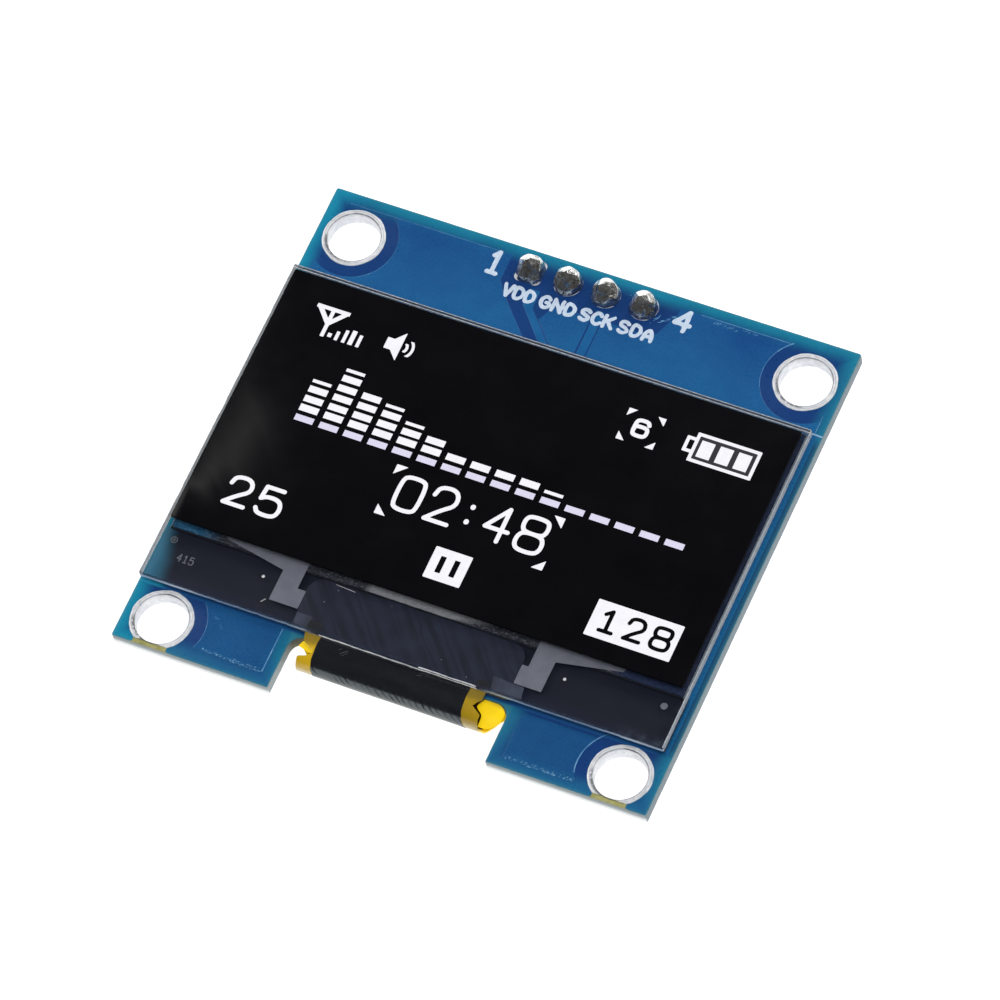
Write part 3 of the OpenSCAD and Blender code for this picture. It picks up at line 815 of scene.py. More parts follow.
def ledge_dark():
    """Dark backing seen through the ledge, with the board's teal at its left end."""
    N = Nodes("ledge_backing", Roughness=0.55)
    x, y, z = N.xyz()
    base = N.mix(N.rng(N.noise(0.5, 3), 0.3, 0.7), srgb(20, 24, 40), srgb(27, 30, 45))
    low = N.rng(N.math("ADD", y, N.math("MULTIPLY", N.noise(0.5, 2), 0.8)), -10.6, -11.9, 0.0, 0.6, True)
    base = N.mix(low, base, srgb(36, 42, 66))
    lean = N.math("MULTIPLY", N.math("ADD", y, 8.5), 0.24)
    t = N.rng(N.math("ADD", N.math("ADD", x, lean), N.math("MULTIPLY", N.noise(0.8, 2), 0.4)), -17.6, -16.2, 1.0, 0.0, True)
    col = N.mix(N.math("MULTIPLY", t, 0.95), base, srgb(62, 126, 156))
    cloud = N.math("MULTIPLY", N.rng(N.noise(1.4, 3, 0.6), 0.42, 0.66), N.math("MULTIPLY", N.rng(y, -11.2, -11.9), N.rng(x, 13.2, 14.2)))
    col = N.mix(N.math("MULTIPLY", cloud, 0.6), col, srgb(84, 94, 108))
    N.set("Base Color", col)
    N.bump(N.noise(6.0, 3), 0.1, 0.02)
    return N.mat


def resin():
    N = Nodes("resin_patch", Roughness=0.45)
    v = N.scaled(1, 1, 1, rot=(0, 0, math.radians(-42)))
    w = N.rng(N.wave(0.3, 2.2, vec=v, direction="X", detail=2, dscale=0.9), 0.6, 0.95, 0.0, 1.0, True)
    w2 = N.rng(N.wave(0.52, 3.0, vec=v, direction="X", detail=2, dscale=0.7), 0.7, 0.97, 0.0, 0.7, True)
    w = N.math("MULTIPLY", N.math("MAXIMUM", w, w2), N.rng(N.noise(0.5, 3), 0.35, 0.6, 0.25, 1.0))
    base = N.mix(N.rng(N.noise(0.6, 3), 0.3, 0.7), srgb(36, 41, 57), srgb(44, 49, 67))
    col = N.mix(N.math("MULTIPLY", w, 0.75), base, srgb(26, 29, 42))
    sp = N.rng(N.noise(8.0, 3, 0.7), 0.72, 0.8, 0.0, 0.5)
    col = N.mix(sp, col, srgb(92, 98, 112))
    N.set("Base Color", col)
    N.bump(N.math("ADD", w, N.noise(3.0, 3)), 0.15, 0.03)
    return N.mat


def ledge_metal():
    N = Nodes("ledge_electrode", Roughness=0.42, Metallic=0.15)
    n = N.noise(1.1, 3)
    f = N.noise(22.0, 2)
    col = N.mix(N.rng(n, 0.3, 0.7), srgb(124, 128, 142), srgb(138, 142, 155))
    col = N.mix(N.rng(f, 0.4, 0.7, 0.0, 0.2), col, srgb(154, 157, 168))
    N.set("Base Color", col)
    N.bump(f, 0.1, 0.01)
    return N.mat


def seal_bead():
    """Edge seal seen under the film's lower border: light, speckled, teal by turns."""
    N = Nodes("edge_seal_bead", Roughness=0.5)
    x, y, z = N.xyz()
    sp = N.noise(5.5, 5, 0.75, vec=N.scaled(1, 2.0, 1))
    dark = N.ramp(N.rng(sp, 0.36, 0.68), [(0.0, srgb(26, 27, 34)), (0.6, srgb(62, 64, 74)), (1.0, srgb(150, 153, 160))])
    light = N.mix(N.rng(sp, 0.35, 0.65), srgb(128, 131, 139), srgb(166, 168, 174))
    teal = N.ramp(N.rng(sp, 0.35, 0.66), [(0.0, srgb(20, 62, 100)), (0.7, srgb(42, 104, 142)), (1.0, srgb(110, 150, 176))])
    navy = N.ramp(N.rng(sp, 0.35, 0.7), [(0.0, srgb(28, 34, 58)), (1.0, srgb(54, 70, 108))])
    col = N.mix(N.rng(x, -4.2, -3.7), dark, light)
    col = N.mix(N.rng(N.math("ADD", x, N.math("MULTIPLY", y, -4.0)), 35.0, 36.5), col, dark)
    col = N.mix(N.rng(x, -13.8, -15.2), col, teal)
    col = N.mix(N.rng(x, 12.0, 13.0), col, navy)
    N.set("Base Color", col)
    N.bump(sp, 0.3, 0.03)
    return N.mat


def amber():
    """Polyimide film: deep yellow, with painted shade where it runs up by the glass, a cream painted reflection of the
    white floor low on the roll, and a painted glow on the wide tail edges for light coming through the film.
    """
    N = Nodes("cable_film", Roughness=0.28, IOR=1.6)
    x, y, z = N.xyz()
    n = N.rng(N.noise(0.8, 3), 0.3, 0.7)
    right = N.rng(x, -1.0, 1.0)
    base = N.mix(right, N.mix(n, srgb(198, 158, 20), srgb(214, 176, 28)), N.mix(n, srgb(158, 128, 18), srgb(176, 144, 26)))
    wob = N.math("MULTIPLY", N.math("SUBTRACT", N.noise(2.0, 3), 0.5), 0.5)
    # painted shade: darker where the roll's upper part runs up by the glass
    top = N.math("MULTIPLY", N.rng(N.math("ADD", y, wob), -13.25, -12.75, 0.0, 1.0, True), N.rng(z, 1.2, 1.5))
    base = N.mix(N.math("MULTIPLY", top, 0.8), base, srgb(126, 106, 40))
    # painted reflection: cream low on the roll's near side, where the white floor is mirrored
    floor_reflection = N.math("MULTIPLY", N.rng(N.math("ADD", z, wob), 1.05, 0.6, 0.0, 1.0, True), N.rng(y, -13.9, -14.15))
    cream = N.mix(right, srgb(224, 208, 162), srgb(204, 188, 132))
    base = N.mix(N.math("MULTIPLY", floor_reflection, 0.9), base, cream)
    tail = N.math("MULTIPLY", N.rng(z, 0.62, 0.5), N.rng(N.math("ABSOLUTE", N.math("ADD", x, 0.2)), 6.0, 6.07))
    base = N.mix(tail, base, srgb(250, 214, 16))
    N.set("Base Color", base)
    # painted glow: the wide tail edges emit, standing for light coming through the film
    glow = N.mix(tail, (0, 0, 0), (0.24, 0.155, 0.002))
    N.set("Emission Color", glow)
    N.b.inputs["Emission Strength"].default_value = 1.0
    N.bump(N.noise(3.0, 3), 0.08, 0.02)
    return N.mat


def amber_inside():
    """The film's inner face within the roll: brown shadow."""
    N = Nodes("cable_film_inside", Roughness=0.5)
    n = N.noise(1.5, 3)
    N.set("Base Color", N.mix(N.rng(n, 0.3, 0.7), srgb(58, 36, 12), srgb(84, 56, 20)))
    N.bump(n, 0.1, 0.02)
    return N.mat


def amber_flap():
    """The film's wide shoulders, lit through: vivid yellow with a painted glow for that light, and a darker olive root
    painted as shade.
    """
    N = Nodes("cable_shoulders", Roughness=0.3, IOR=1.6)
    x, y, z = N.xyz()
    n = N.rng(N.noise(1.1, 3), 0.3, 0.7)
    col = N.mix(n, srgb(240, 204, 12), srgb(252, 218, 24))
    # painted shade: darker olive at the root of the shoulders
    root = N.rng(z, 0.84, 0.95, 0.0, 0.75)
    col = N.mix(root, col, srgb(120, 112, 30))
    N.set("Base Color", col)
    # painted glow: the shoulders emit, less at the root, standing for light coming through the film
    glow = N.mix(root, (0.3, 0.195, 0.003), (0.02, 0.018, 0.002))
    N.set("Emission Color", glow)
    N.b.inputs["Emission Strength"].default_value = 1.0
    N.bump(N.noise(2.2, 3), 0.12, 0.02)
    return N.mat


def coat_black():
    """Black coating; slanting copper runs beneath it show as darker streaks where it shines."""
    N = Nodes("cable_coating", IOR=1.9)
    x, y, z = N.xyz()
    n = N.noise(0.8, 4, 0.6, vec=N.scaled(0.5, 1.6, 1))
    N.set("Base Color", N.mix(N.rng(n, 0.35, 0.7), srgb(9, 9, 13), srgb(21, 22, 29)))
    jit = N.math("MULTIPLY", N.math("SUBTRACT", N.noise(0.7, 2), 0.5), 0.6)
    ph = N.math("ADD", N.math("ADD", x, N.math("MULTIPLY", z, 0.85)), jit)
    f = N.math("PINGPONG", ph, 0.23)
    dark = N.rng(f, 0.12, 0.035, 0.0, 1.0, True)
    part = N.rng(N.noise(0.55, 3, 0.6), 0.38, 0.6, 0.15, 1.0)
    dark = N.math("MULTIPLY", N.math("MULTIPLY", dark, part), N.rng(z, 1.45, 1.2))
    N.set("Specular IOR Level", N.rng(dark, 0.0, 1.0, 0.5, 0.06))
    N.set("Specular Tint", N.mix(N.rng(n, 0.3, 0.7), (0.78, 0.93, 1.0), (0.86, 0.97, 1.0)))
    s = N.noise(3.0, 4, 0.7, vec=N.scaled(3.5, 0.5, 1))
    N.set("Roughness", N.rng(s, 0.3, 0.75, 0.17, 0.27))
    N.bump(n, 0.12, 0.03)
    return N.mat


def dark_plastic(name, a=(16, 16, 18), b=(30, 30, 33), rough=0.42):
    N = Nodes(name, Roughness=rough)
    n = N.noise(9.0, 4, 0.65)
    N.set("Base Color", N.mix(N.rng(n, 0.3, 0.7), srgb(*a), srgb(*b)))
    N.set("Roughness", N.rng(n, 0.3, 0.7, rough - 0.08, rough + 0.1))
    N.bump(n, 0.3, 0.02)
    return N.mat


def plain_metal(name, a, b, rough, scale=6.0):
    N = Nodes(name, Metallic=1.0)
    n = N.noise(scale, 4, 0.6)
    N.set("Base Color", N.mix(N.rng(n, 0.3, 0.7), srgb(*a), srgb(*b)))
    N.set("Roughness", N.rng(N.noise(scale * 1.7, 3), 0.3, 0.7, rough * 0.75, rough * 1.35))
    N.bump(n, 0.2, 0.02)
    return N.mat


def soft_solid(name, a, b, rough, scale=3.0, bump=0.2, **kw):
    N = Nodes(name, Roughness=rough, **kw)
    n = N.noise(scale, 4, 0.6)
    N.set("Base Color", N.mix(N.rng(n, 0.3, 0.7), srgb(*a), srgb(*b)))
    N.bump(n, bump, 0.02)
    return N.mat


M_MASK = mask_bare()
M_POUR = mask_copper()
M_TRACE = mask_trace()
M_RIDGE_HIGHLIGHT = painted_highlight_ridge(False)
M_GLINT_RIDGE = painted_highlight_ridge(True)
M_LAM = laminate()
M_INK = legend()
M_INKBLUE = legend_thin()
M_TIN = tinned()
M_RING = ring_tin()
M_SOLDER = solder()
M_GROUND = ground_glass()
M_GRSMOKE = ground_glass_dark()
M_FROST = frost_line()
M_GRREAR = rear_glass_edge()
M_GLASS = clear_glass("front_glass_clear", srgb(22, 27, 34), 0.1)
M_CAPGLASS = clear_glass("rear_glass_clear", srgb(40, 50, 60), 0.3)
M_FILM = film_black()
M_LIT = lit("lit_white", (0.95, 0.945, 1.0), 1.0)
M_LIT2 = lit("lit_lilac", (0.74, 0.715, 0.9), 1.0)
M_LEDGE = ledge_dark()
M_RESIN = resin()
M_ELEC = ledge_metal()
M_SEAL = seal_bead()
M_AMBER = amber()
M_AMBER_IN = amber_inside()
M_FLAP = amber_flap()
M_COAT = coat_black()
M_STRIP = dark_plastic("header_plastic")
M_EPOXY = dark_plastic("part_epoxy", (20, 20, 22), (36, 36, 38), 0.5)
M_PIN = plain_metal("pin_gold_flash", (206, 176, 98), (232, 208, 140), 0.22)
M_LEAD = plain_metal("lead_tin", (196, 198, 202), (226, 227, 230), 0.3)
M_TAPE = soft_solid("white_tape", (214, 214, 208), (232, 232, 228), 0.75, 5.0)
M_DESIC = soft_solid("desiccant_sheet", (206, 200, 182), (222, 216, 200), 0.8, 4.0)
M_EMIT = plain_metal("emitter_backing", (120, 122, 132), (146, 148, 156), 0.12, 0.6)
M_SIL = plain_metal("silicon_back", (92, 94, 104), (110, 112, 124), 0.1, 0.8)
M_BOND = soft_solid("bond_film", (140, 138, 124), (160, 156, 142), 0.6, 8.0)
M_CERAM = soft_solid("capacitor_ceramic", (132, 104, 74), (158, 128, 92), 0.55, 12.0)
M_ALUMINA = soft_solid("resistor_ceramic", (206, 208, 206), (226, 227, 224), 0.6, 10.0)
M_GLAZE = soft_solid("resistor_glaze", (18, 18, 20), (30, 30, 32), 0.3, 6.0)


# ------------------------------------------------------------- the board
def d_notch(X, Y, grow=0.0):
    return d_box(X, Y, -NOTCH_W / 2 - grow, NOTCH_W / 2 + grow, BY0 - 4, NOTCH_TOP + grow, NOTCH_R + grow)


def d_board(X, Y):
    return cut(d_box(X, Y, BX0, BX1, BY0, BY1, 0.15), d_notch(X, Y))


def ripple(X, Y, amp, scale, seed):
    """Smooth seeded value noise, about zero."""
    r = np.random.default_rng(seed).random((256, 256)) - 0.5
    u, v = X * scale + 97.3, Y * scale + 61.7
    i, j = np.floor(u).astype(int), np.floor(v).astype(int)
    fu, fv = u - i, v - j
    fu, fv = fu * fu * (3 - 2 * fu), fv * fv * (3 - 2 * fv)
    g = lambda a, b: r[a % 256, b % 256]
    return amp * 2 * ((g(i, j) * (1 - fu) + g(i + 1, j) * fu) * (1 - fv)
                      + (g(i, j + 1) * (1 - fu) + g(i + 1, j + 1) * fu) * fv)


AREA = (BX0 - 0.6, BX1 + 0.6, BY0 - 0.6, BY1 + 0.6)


def core_shape(X, Y):
    d = d_board(X, Y) + np.abs(ripple(X, Y, 0.014, 1.7, 5))
    for hx, hy in HOLES:
        d = cut(d, d_circle(X, Y, hx, hy, HOLE_R + 0.05))
    for px in PIN_X:
        d = cut(d, d_circle(X, Y, px, PIN_Y, 0.54))
    return d


board = Mesh()
board.plate(contours(core_shape, *AREA, 0.07),
            [(0.05, 0.03), (0.012, 0.045), (0.0, 0.09), (0.0, 0.9), (0.014, 0.945), (0.05, 0.965)], side=0, top=0)
board = board.make("board_laminate", M_LAM, "board_blue", replaces=["circuit_board"])


def openings(X, Y, d):
    for hx, hy in HOLES:
        d = cut(d, d_circle(X, Y, hx, hy, 2.02))
    for i, px in enumerate(PIN_X):
        d = cut(d, d_box(X, Y, px - 0.85, px + 0.85, PIN_Y - 0.85, PIN_Y + 0.85, 0.3) if i == 0
                else d_circle(X, Y, px, PIN_Y, 0.92))
    return d


def front_mask(X, Y):
    d = d_board(X, Y) + 0.035
    d = openings(X, Y, d)
    for s in (-1, 1):
        d = cut(d, d_box(X, Y, s * 15.2 - 1.12, s * 15.2 + 1.12, BY0 - 1, BY0 + 0.9, 0.3))
    return d


mask = Mesh().plate(contours(front_mask, *AREA, 0.07), soft_edge(0.955, 0.985, 0.012))
mask.make("mask_front", M_MASK, "board_blue")


def annuli(X, Y, d, r=2.8, r_right=2.86):
    for hx, hy in HOLES:
        d = cut(d, d_circle(X, Y, hx + (0.1 if hx > 0 else 0), hy, r_right if hx > 0 else r))
    return d


def front_pour(X, Y):
    left = d_poly(X, Y, [(-16.85, 16.42), (-5.4, 16.42), (-5.4, 14.55), (-4.9, 13.85), (-4.5, 13.4),
                         (-2.6, 11.4), (-1.85, 10.6), (-16.85, 10.6)], 0.06)
    mid = d_poly(X, Y, [(-1.62, 13.95), (-1.62, 13.4), (-1.96, 12.76), (-0.66, 11.4), (0.1, 10.6), (0.98, 10.6),
                        (0.98, 13.95)], 0.05)
    right = d_poly(X, Y, [(1.84, 10.6), (1.84, 13.95), (5.1, 13.95), (5.35, 14.3), (6.05, 16.0), (6.05, 16.42),
                          (17.1, 16.42), (17.1, 10.6)], 0.06)
    strip_l = d_box(X, Y, -16.8, -16.2, -12, 10.0, 0.05)
    strip_r = d_box(X, Y, 17.0, 17.35, -12.2, 10.9, 0.05)
    tab_l = d_box(X, Y, -14.5, -7.95, -15.38, -12.25, 0.1)
    tab_r = d_box(X, Y, 8.05, 14.5, -15.75, -12.45, 0.1)
    d = union(left, mid, right, strip_l, strip_r, tab_l, tab_r)
    d = annuli(X, Y, d)
    hid = d_box(X, Y, GX0 + 0.9, GX1 - 0.9, -11.6, GY1 - 0.5, 0.2)
    d = union(d, hid)
    return np.maximum(d, d_board(X, Y) + 0.25)


pour = Mesh().plate(contours(front_pour, *AREA, 0.06),
                    [(0.0, 0.984), (0.0, 0.99), (0.022, 0.997), (0.055, 1.0)])
pour.make("copper_fields_front", M_POUR, "board_blue")


def front_traces(X, Y):
    vdd = d_poly(X, Y, [(-3.32, 14.6), (-3.32, 13.45), (-1.45, 11.4), (-0.7, 10.6), (-0.12, 10.6), (-0.82, 11.35),
                        (-2.68, 13.35), (-2.72, 14.6)], 0.03)
    return union(vdd, d_box(X, Y, 1.14, 1.7, 10.6, 14.6, 0.05))


Mesh().plate(contours(front_traces, -4, 2.2, 10.3, 15, 0.05),
             [(0.0, 0.984), (0.0, 0.99), (0.022, 0.997), (0.055, 1.0)]).make("traces_front", M_TRACE, "board_blue")


def ridge(pts, w, h, z=0.998, grain=None, seed=1):
    """Low rounded bead along a line; grain breaks it up."""
    P = np.array(pts, float)

    def f(X, Y):
        d = d_line(X, Y, pts, w)
        if grain:
            d = d + ripple(X, Y, grain[0], grain[1], seed)
        return d
    m = w + 0.3
    return contours(f, P[:, 0].min() - m, P[:, 0].max() + m, P[:, 1].min() - m, P[:, 1].max() + m, 0.025, 0.002)


def arc(cx, cy, r, a0, a1, n=40):
    return [(cx + r * math.cos(math.radians(a0 + (a1 - a0) * i / n)),
             cy + r * math.sin(math.radians(a0 + (a1 - a0) * i / n))) for i in range(n + 1)]


def bead_rings(h, w, z=0.994):
    return [(0.0, z), (0.0, z + 0.3 * h), (0.35 * w, z + 0.8 * h), (0.7 * w, z + h)]


# painted highlights: light ridges along the edges of the copper fields
edge_highlights = Mesh()
for pts, w in (
    (arc(15.3, 14.25, 2.9, 129, 150), 0.045), (arc(15.3, 14.25, 2.9, 150, 205), 0.016), (arc(15.3, 14.25, 2.9, 205, 262), 0.01),
    ([(7.4, 16.45), (13.25, 16.45)], 0.022), (arc(15.3, -14.25, 2.9, 128, 196), 0.038),
    ([(-7.95, -12.3), (-7.95, -15.35)], 0.04),
    ([(-16.4, 16.45), (-6.0, 16.45)], 0.014), ([(17.14, 10.98), (17.14, 12.4)], 0.014),
    (arc(-15.2, -14.25, 2.84, -22, 40), 0.014), (arc(-15.2, 14.25, 2.84, -85, 5), 0.012),
):
    edge_highlights.plate(ridge(pts, w, 0.02), bead_rings(0.012, w))
edge_highlights.make("field_shoulder_highlights", M_RIDGE_HIGHLIGHT, "board_blue")
glint_mesh = Mesh()


def glint_marks(a, b, n, spread, seed, long=0.12, thick=0.018, lean=62):
    """Short bright marks scattered along a line: painted glints on the copper fields."""
    r = np.random.default_rng(seed)
    out = []
    for _ in range(n):
        t = r.random()
        x = a[0] + (b[0] - a[0]) * t
        y = a[1] + (b[1] - a[1]) * t + (r.random() - 0.5) * spread
        an = math.radians(lean + 50 * (r.random() - 0.5))
        L = long * (0.35 + r.random()) / 2
        out.append(((x - L * math.cos(an), y - L * math.sin(an)), (x + L * math.cos(an), y + L * math.sin(an)),
                    thick * (0.6 + 0.8 * r.random())))
    return out


def glint_shapes(items):
    xs = [p[0] for i in items for p in i[:2]]
    ys = [p[1] for i in items for p in i[:2]]

    def f(X, Y):
        d = np.full(X.shape, 1e3)
        for p, q, w in items:
            d = np.minimum(d, d_seg(X, Y, p, q, w))
        return d
    return contours(f, min(xs) - 0.1, max(xs) + 0.1, min(ys) - 0.1, max(ys) + 0.1, 0.016, 0.0015)


# painted glints: rows of small bright marks along the lower edges of the tab fields
for items in (glint_marks((-12.0, -15.28), (-8.0, -15.36), 70, 0.2, 3) + glint_marks((-10.6, -15.4), (-7.98, -15.44), 34, 0.05, 4, 0.16, 0.016, 15),
              glint_marks((8.1, -15.58), (12.7, -15.55), 90, 0.2, 7) + glint_marks((9.6, -15.66), (12.7, -15.64), 36, 0.05, 8, 0.16, 0.016, 15)):
    glint_mesh.plate(glint_shapes(items), [(0.0, 0.99), (0.0, 1.0), (0.006, 1.006)])
# painted glints: softer small bright marks on the copper fields by the header and on the left tab
glow = Mesh()
for items in (glint_marks((8.3, 16.25), (9.9, 16.2), 26, 0.22, 11, 0.14, 0.014), glint_marks((10.2, 16.3), (11.2, 16.3), 14, 0.12, 12, 0.12, 0.012),
              glint_marks((5.05, 15.0), (5.9, 15.75), 12, 0.2, 13, 0.24, 0.02, 28), glint_marks((4.6, 14.95), (5.0, 15.5), 7, 0.2, 14, 0.18, 0.016, 40),
              glint_marks((2.0, 16.3), (4.8, 16.1), 10, 0.2, 17, 0.1, 0.012), glint_marks((-12.3, -12.9), (-11.4, -13.6), 6, 0.2, 15, 0.2, 0.01, 10)):
    glow.plate(glint_shapes(items), [(0.0, 0.99), (0.0, 0.999), (0.004, 1.003)])
glow.make("field_glints_soft", M_RIDGE_HIGHLIGHT, "board_blue")
glint_mesh.make("field_shoulder_glints", M_GLINT_RIDGE, "board_blue")


# ------------------------------------------------------- printed legend
GLYPH = {
    "V": [[(0, 1), (0.5, 0), (1, 1)]],
    "D": [[(0, 0), (0, 1), (0.5, 1), (0.85, 0.85), (1, 0.6), (1, 0.4), (0.85, 0.15), (0.5, 0), (0, 0)]],
    "G": [[(0.95, 0.82), (0.7, 1), (0.35, 1), (0.06, 0.75), (0, 0.5), (0.06, 0.25), (0.35, 0), (0.7, 0), (1, 0.18),
           (1, 0.48), (0.62, 0.48)]],
    "N": [[(0, 0), (0, 1), (1, 0), (1, 1)]],
    "S": [[(0.95, 0.86), (0.7, 1), (0.3, 1), (0.02, 0.82), (0.1, 0.6), (0.5, 0.5), (0.9, 0.4), (0.98, 0.18), (0.7, 0),
           (0.3, 0), (0.02, 0.14)]],
    "C": [[(0.98, 0.82), (0.7, 1), (0.35, 1), (0.05, 0.72), (0.05, 0.28), (0.35, 0), (0.7, 0), (0.98, 0.18)]],
    "K": [[(0, 0), (0, 1)], [(0.98, 1), (0.05, 0.45)], [(0.35, 0.62), (1, 0)]],
    "A": [[(0, 0), (0.08, 0.55), (0.5, 1), (0.92, 0.55), (1, 0)], [(0.06, 0.36), (0.94, 0.36)]],
    "0": [[(0.14, 0), (0.86, 0), (1.02, 0.16), (1.02, 0.84), (0.86, 1), (0.14, 1), (-0.02, 0.84), (-0.02, 0.16), (0.14, 0)]],
    "1": [[(0.16, 0.8), (0.52, 1), (0.52, 0)], [(0.12, 0), (0.92, 0)]],
    "2": [[(0, 0.74), (0.12, 1.02), (0.88, 1.04), (1.06, 0.62), (0.5, 0.34), (0, 0), (0, 0), (0, 0), (1, 0), (1, 0)]],
    "3": [[(0.02, 0.86), (0.3, 1), (0.7, 1), (0.96, 0.78), (0.7, 0.54), (0.4, 0.54)],
          [(0.7, 0.54), (1, 0.28), (0.7, 0), (0.3, 0), (0, 0.14)]],
    "4": [[(0.72, 0), (0.72, 1), (0, 0.34), (1, 0.34)]],
    "5": [[(0.92, 1), (0.92, 1), (0.08, 1), (0.08, 1), (0.08, 1), (0.02, 0.54), (0.02, 0.54), (0.3, 0.66), (0.86, 0.64), (1.06, 0.44),
           (1.06, 0.16), (0.86, -0.02), (0.14, -0.02), (-0.02, 0.16)]],
    "6": [[(1.0, 0.82), (0.84, 1.03), (0.12, 1.02), (-0.02, 0.8), (-0.02, 0.14), (0.14, -0.02), (0.88, -0.02), (1.04, 0.16),
           (1.04, 0.44), (0.88, 0.6), (0.14, 0.6), (0.0, 0.46), (0.0, 0.3)]],
    "7": [[(0, 1), (1, 1), (0.42, 0)]],
    "8": [[(0.14, 0.53), (-0.02, 0.66), (-0.02, 0.9), (0.14, 1.02), (0.86, 1.02), (1.02, 0.9), (1.02, 0.66), (0.86, 0.53),
           (0.14, 0.53)],
          [(0.14, 0.53), (-0.06, 0.38), (-0.06, 0.12), (0.14, -0.02), (0.86, -0.02), (1.06, 0.12), (1.06, 0.38), (0.86, 0.53),
           (0.14, 0.53)]],
    "9": [[(0.15, 0.08), (0.5, 0), (0.9, 0.28), (1, 0.64), (0.7, 1), (0.3, 1), (0, 0.72), (0.3, 0.42), (0.7, 0.44),
           (0.98, 0.66)]],
    ":": [[(0.5, 0.24), (0.5, 0.26)], [(0.5, 0.7), (0.5, 0.72)]],
    "+": [[(0.5, 0.15), (0.5, 0.85)], [(0.1, 0.5), (0.9, 0.5)]],
}


ROUND = set("DGSCA023568 9")


def rounded(pts, times=2):
    """Cuts the corners of a stroke so that it runs in curves; doubled points stay sharp."""
    shut = pts[0] == pts[-1]
    for _ in range(times):
        out = [] if shut else [pts[0]]
        for a, b in zip(pts[:-1], pts[1:]):
            out += [(0.75 * a[0] + 0.25 * b[0], 0.75 * a[1] + 0.25 * b[1]),
                    (0.25 * a[0] + 0.75 * b[0], 0.25 * a[1] + 0.75 * b[1])]
        pts = out + ([out[0]] if shut else [pts[-1]])
    return pts


def glyphs(X, Y, text, x, y, w, h, gap, r, d=None, slant=0.0):
    """Adds stroked signs; (x, y) is the lower left of the first one."""
    for ch in text:
        for line in GLYPH.get(ch, []):
            if ch in ROUND and len(line) > 2:
                line = rounded(line)
            pts = [(x + a * w + slant * b * h, y + b * h) for a, b in line]
            s = d_line(X, Y, pts, r)
            d = s if d is None else np.minimum(d, s)
        x += w + gap
    return d


def front_ink(X, Y):
    d = None
    for text, x, w, gap in (("VDD", -4.88, 0.54, 0.2), ("GND", -2.36, 0.57, 0.26), ("SCK", 0.32, 0.55, 0.24),
                            ("SDA", 2.92, 0.56, 0.26)):
        d = glyphs(X, Y, text, x, 13.66, w, 0.78, gap, 0.125, d)
    d = np.minimum(d, glyphs(X, Y, "1", -6.5, 14.85, 0.72, 1.5, 0, 0.15))
    d = np.minimum(d, glyphs(X, Y, "4", 6.0, 14.98, 1.0, 1.38, 0, 0.15))
    return d + ripple(X, Y, 0.022, 5.0, 21)


ink = Mesh()
ink.plate(contours(front_ink, -7.2, 7.6, 13.2, 16.9, 0.03, 0.003), soft_edge(0.992, 1.012, 0.012, 2))
ink.make("legend_front", M_INK, "board_blue")
outline = Mesh()
for pts, w in (([(17.02, 11.06), (17.62, 11.04)], 0.06),):
    outline.plate(ridge(pts, w, 0.02, grain=(0.012, 3.0), seed=9), soft_edge(0.99, 1.008, 0.008, 2))
outline.make("legend_panel_outline", M_INKBLUE, "board_blue")


# ------------------------------------------------ rings, pads and solder
plating = Mesh()
for k, (hx, hy) in enumerate(HOLES):
    low = hy < 0
    ph = 1.3 * k

    def outer(t, r, hx=hx, hy=hy, low=low, ph=ph):
        """Outer radius with the lumps of levelled tin, and the board's edge at the bottom."""
        v = r
        if r > 1.75:
            v += 0.014 * math.sin(5 * t + ph) + 0.01 * math.sin(9 * t + 2.1 * ph) + 0.006 * math.sin(23 * t + ph)
            v = min(v, 2.025)
        if low and math.sin(t) < 0:
            v = min(v, 1.68 / max(abs(math.sin(t)), 1e-6))
        return v

    def wob(t, r, z, outer=outer, ph=ph):
        if z > 1.0:
            f = math.sin(3 * t + ph) * 0.4 + math.sin(7 * t + 2 * ph) * 0.3
            z = min(1.0345, 1.0 + (z - 1.0) * (1 + 0.16 * f))
        if z < 0.0:
            z = max(-0.0345, z * (1 + 0.12 * math.sin(4 * t + ph)))
        return outer(t, r), z

    prof = [(1.65, 0.08), (1.65, 0.9), (1.655, 0.95), (1.672, 0.99), (1.7, 1.014), (1.735, 1.02), (1.77, 1.008),
            (1.81, 1.016), (1.87, 1.03), (1.93, 1.032), (1.975, 1.02), (2.005, 0.998), (2.01, 0.97), (1.75, 0.962),
            (1.69, 0.95), (1.69, 0.05), (1.75, 0.038), (2.01, 0.03), (2.005, -0.004), (1.97, -0.025), (1.87, -0.03),
            (1.76, -0.028), (1.69, -0.01), (1.66, 0.02)]
    plating.lathe(hx, hy, prof, 96, close=True, wobble=wob)
plating.make("ring_plating", M_RING, "tinned_copper", replaces=["hole_plating"], angle=50)

pads = Mesh()
for i, px in enumerate(PIN_X):
    for z0, z1, s in ((0.9, 1.032, 1), (-0.032, 0.1, -1)):
        def shape(X, Y, i=i, px=px):
            d = (d_box(X, Y, px - 0.86, px + 0.86, PIN_Y - 0.86, PIN_Y + 0.86, 0.32) if i == 0
                 else d_circle(X, Y, px, PIN_Y, 0.93))
            return cut(d + ripple(X, Y, 0.012, 2.5, 30 + i), d_circle(X, Y, px, PIN_Y, 0.515))
        loops = contours(shape, px - 1.2, px + 1.2, PIN_Y - 1.2, PIN_Y + 1.2, 0.04)
        rings = ([(0.0, 0.955), (0.0, 1.01), (0.012, 1.024), (0.04, 1.032)] if s > 0
                 else [(0.04, -0.032), (0.012, -0.024), (0.0, -0.01), (0.0, 0.045)])
        pads.plate(loops, rings)
    pads.lathe(px, PIN_Y, [(0.51, -0.005), (0.54, -0.005), (0.54, 1.005), (0.51, 1.005)], 40, close=True)
pads.make("pad_plating", M_TIN, "tinned_copper", replaces=["header_plating"])


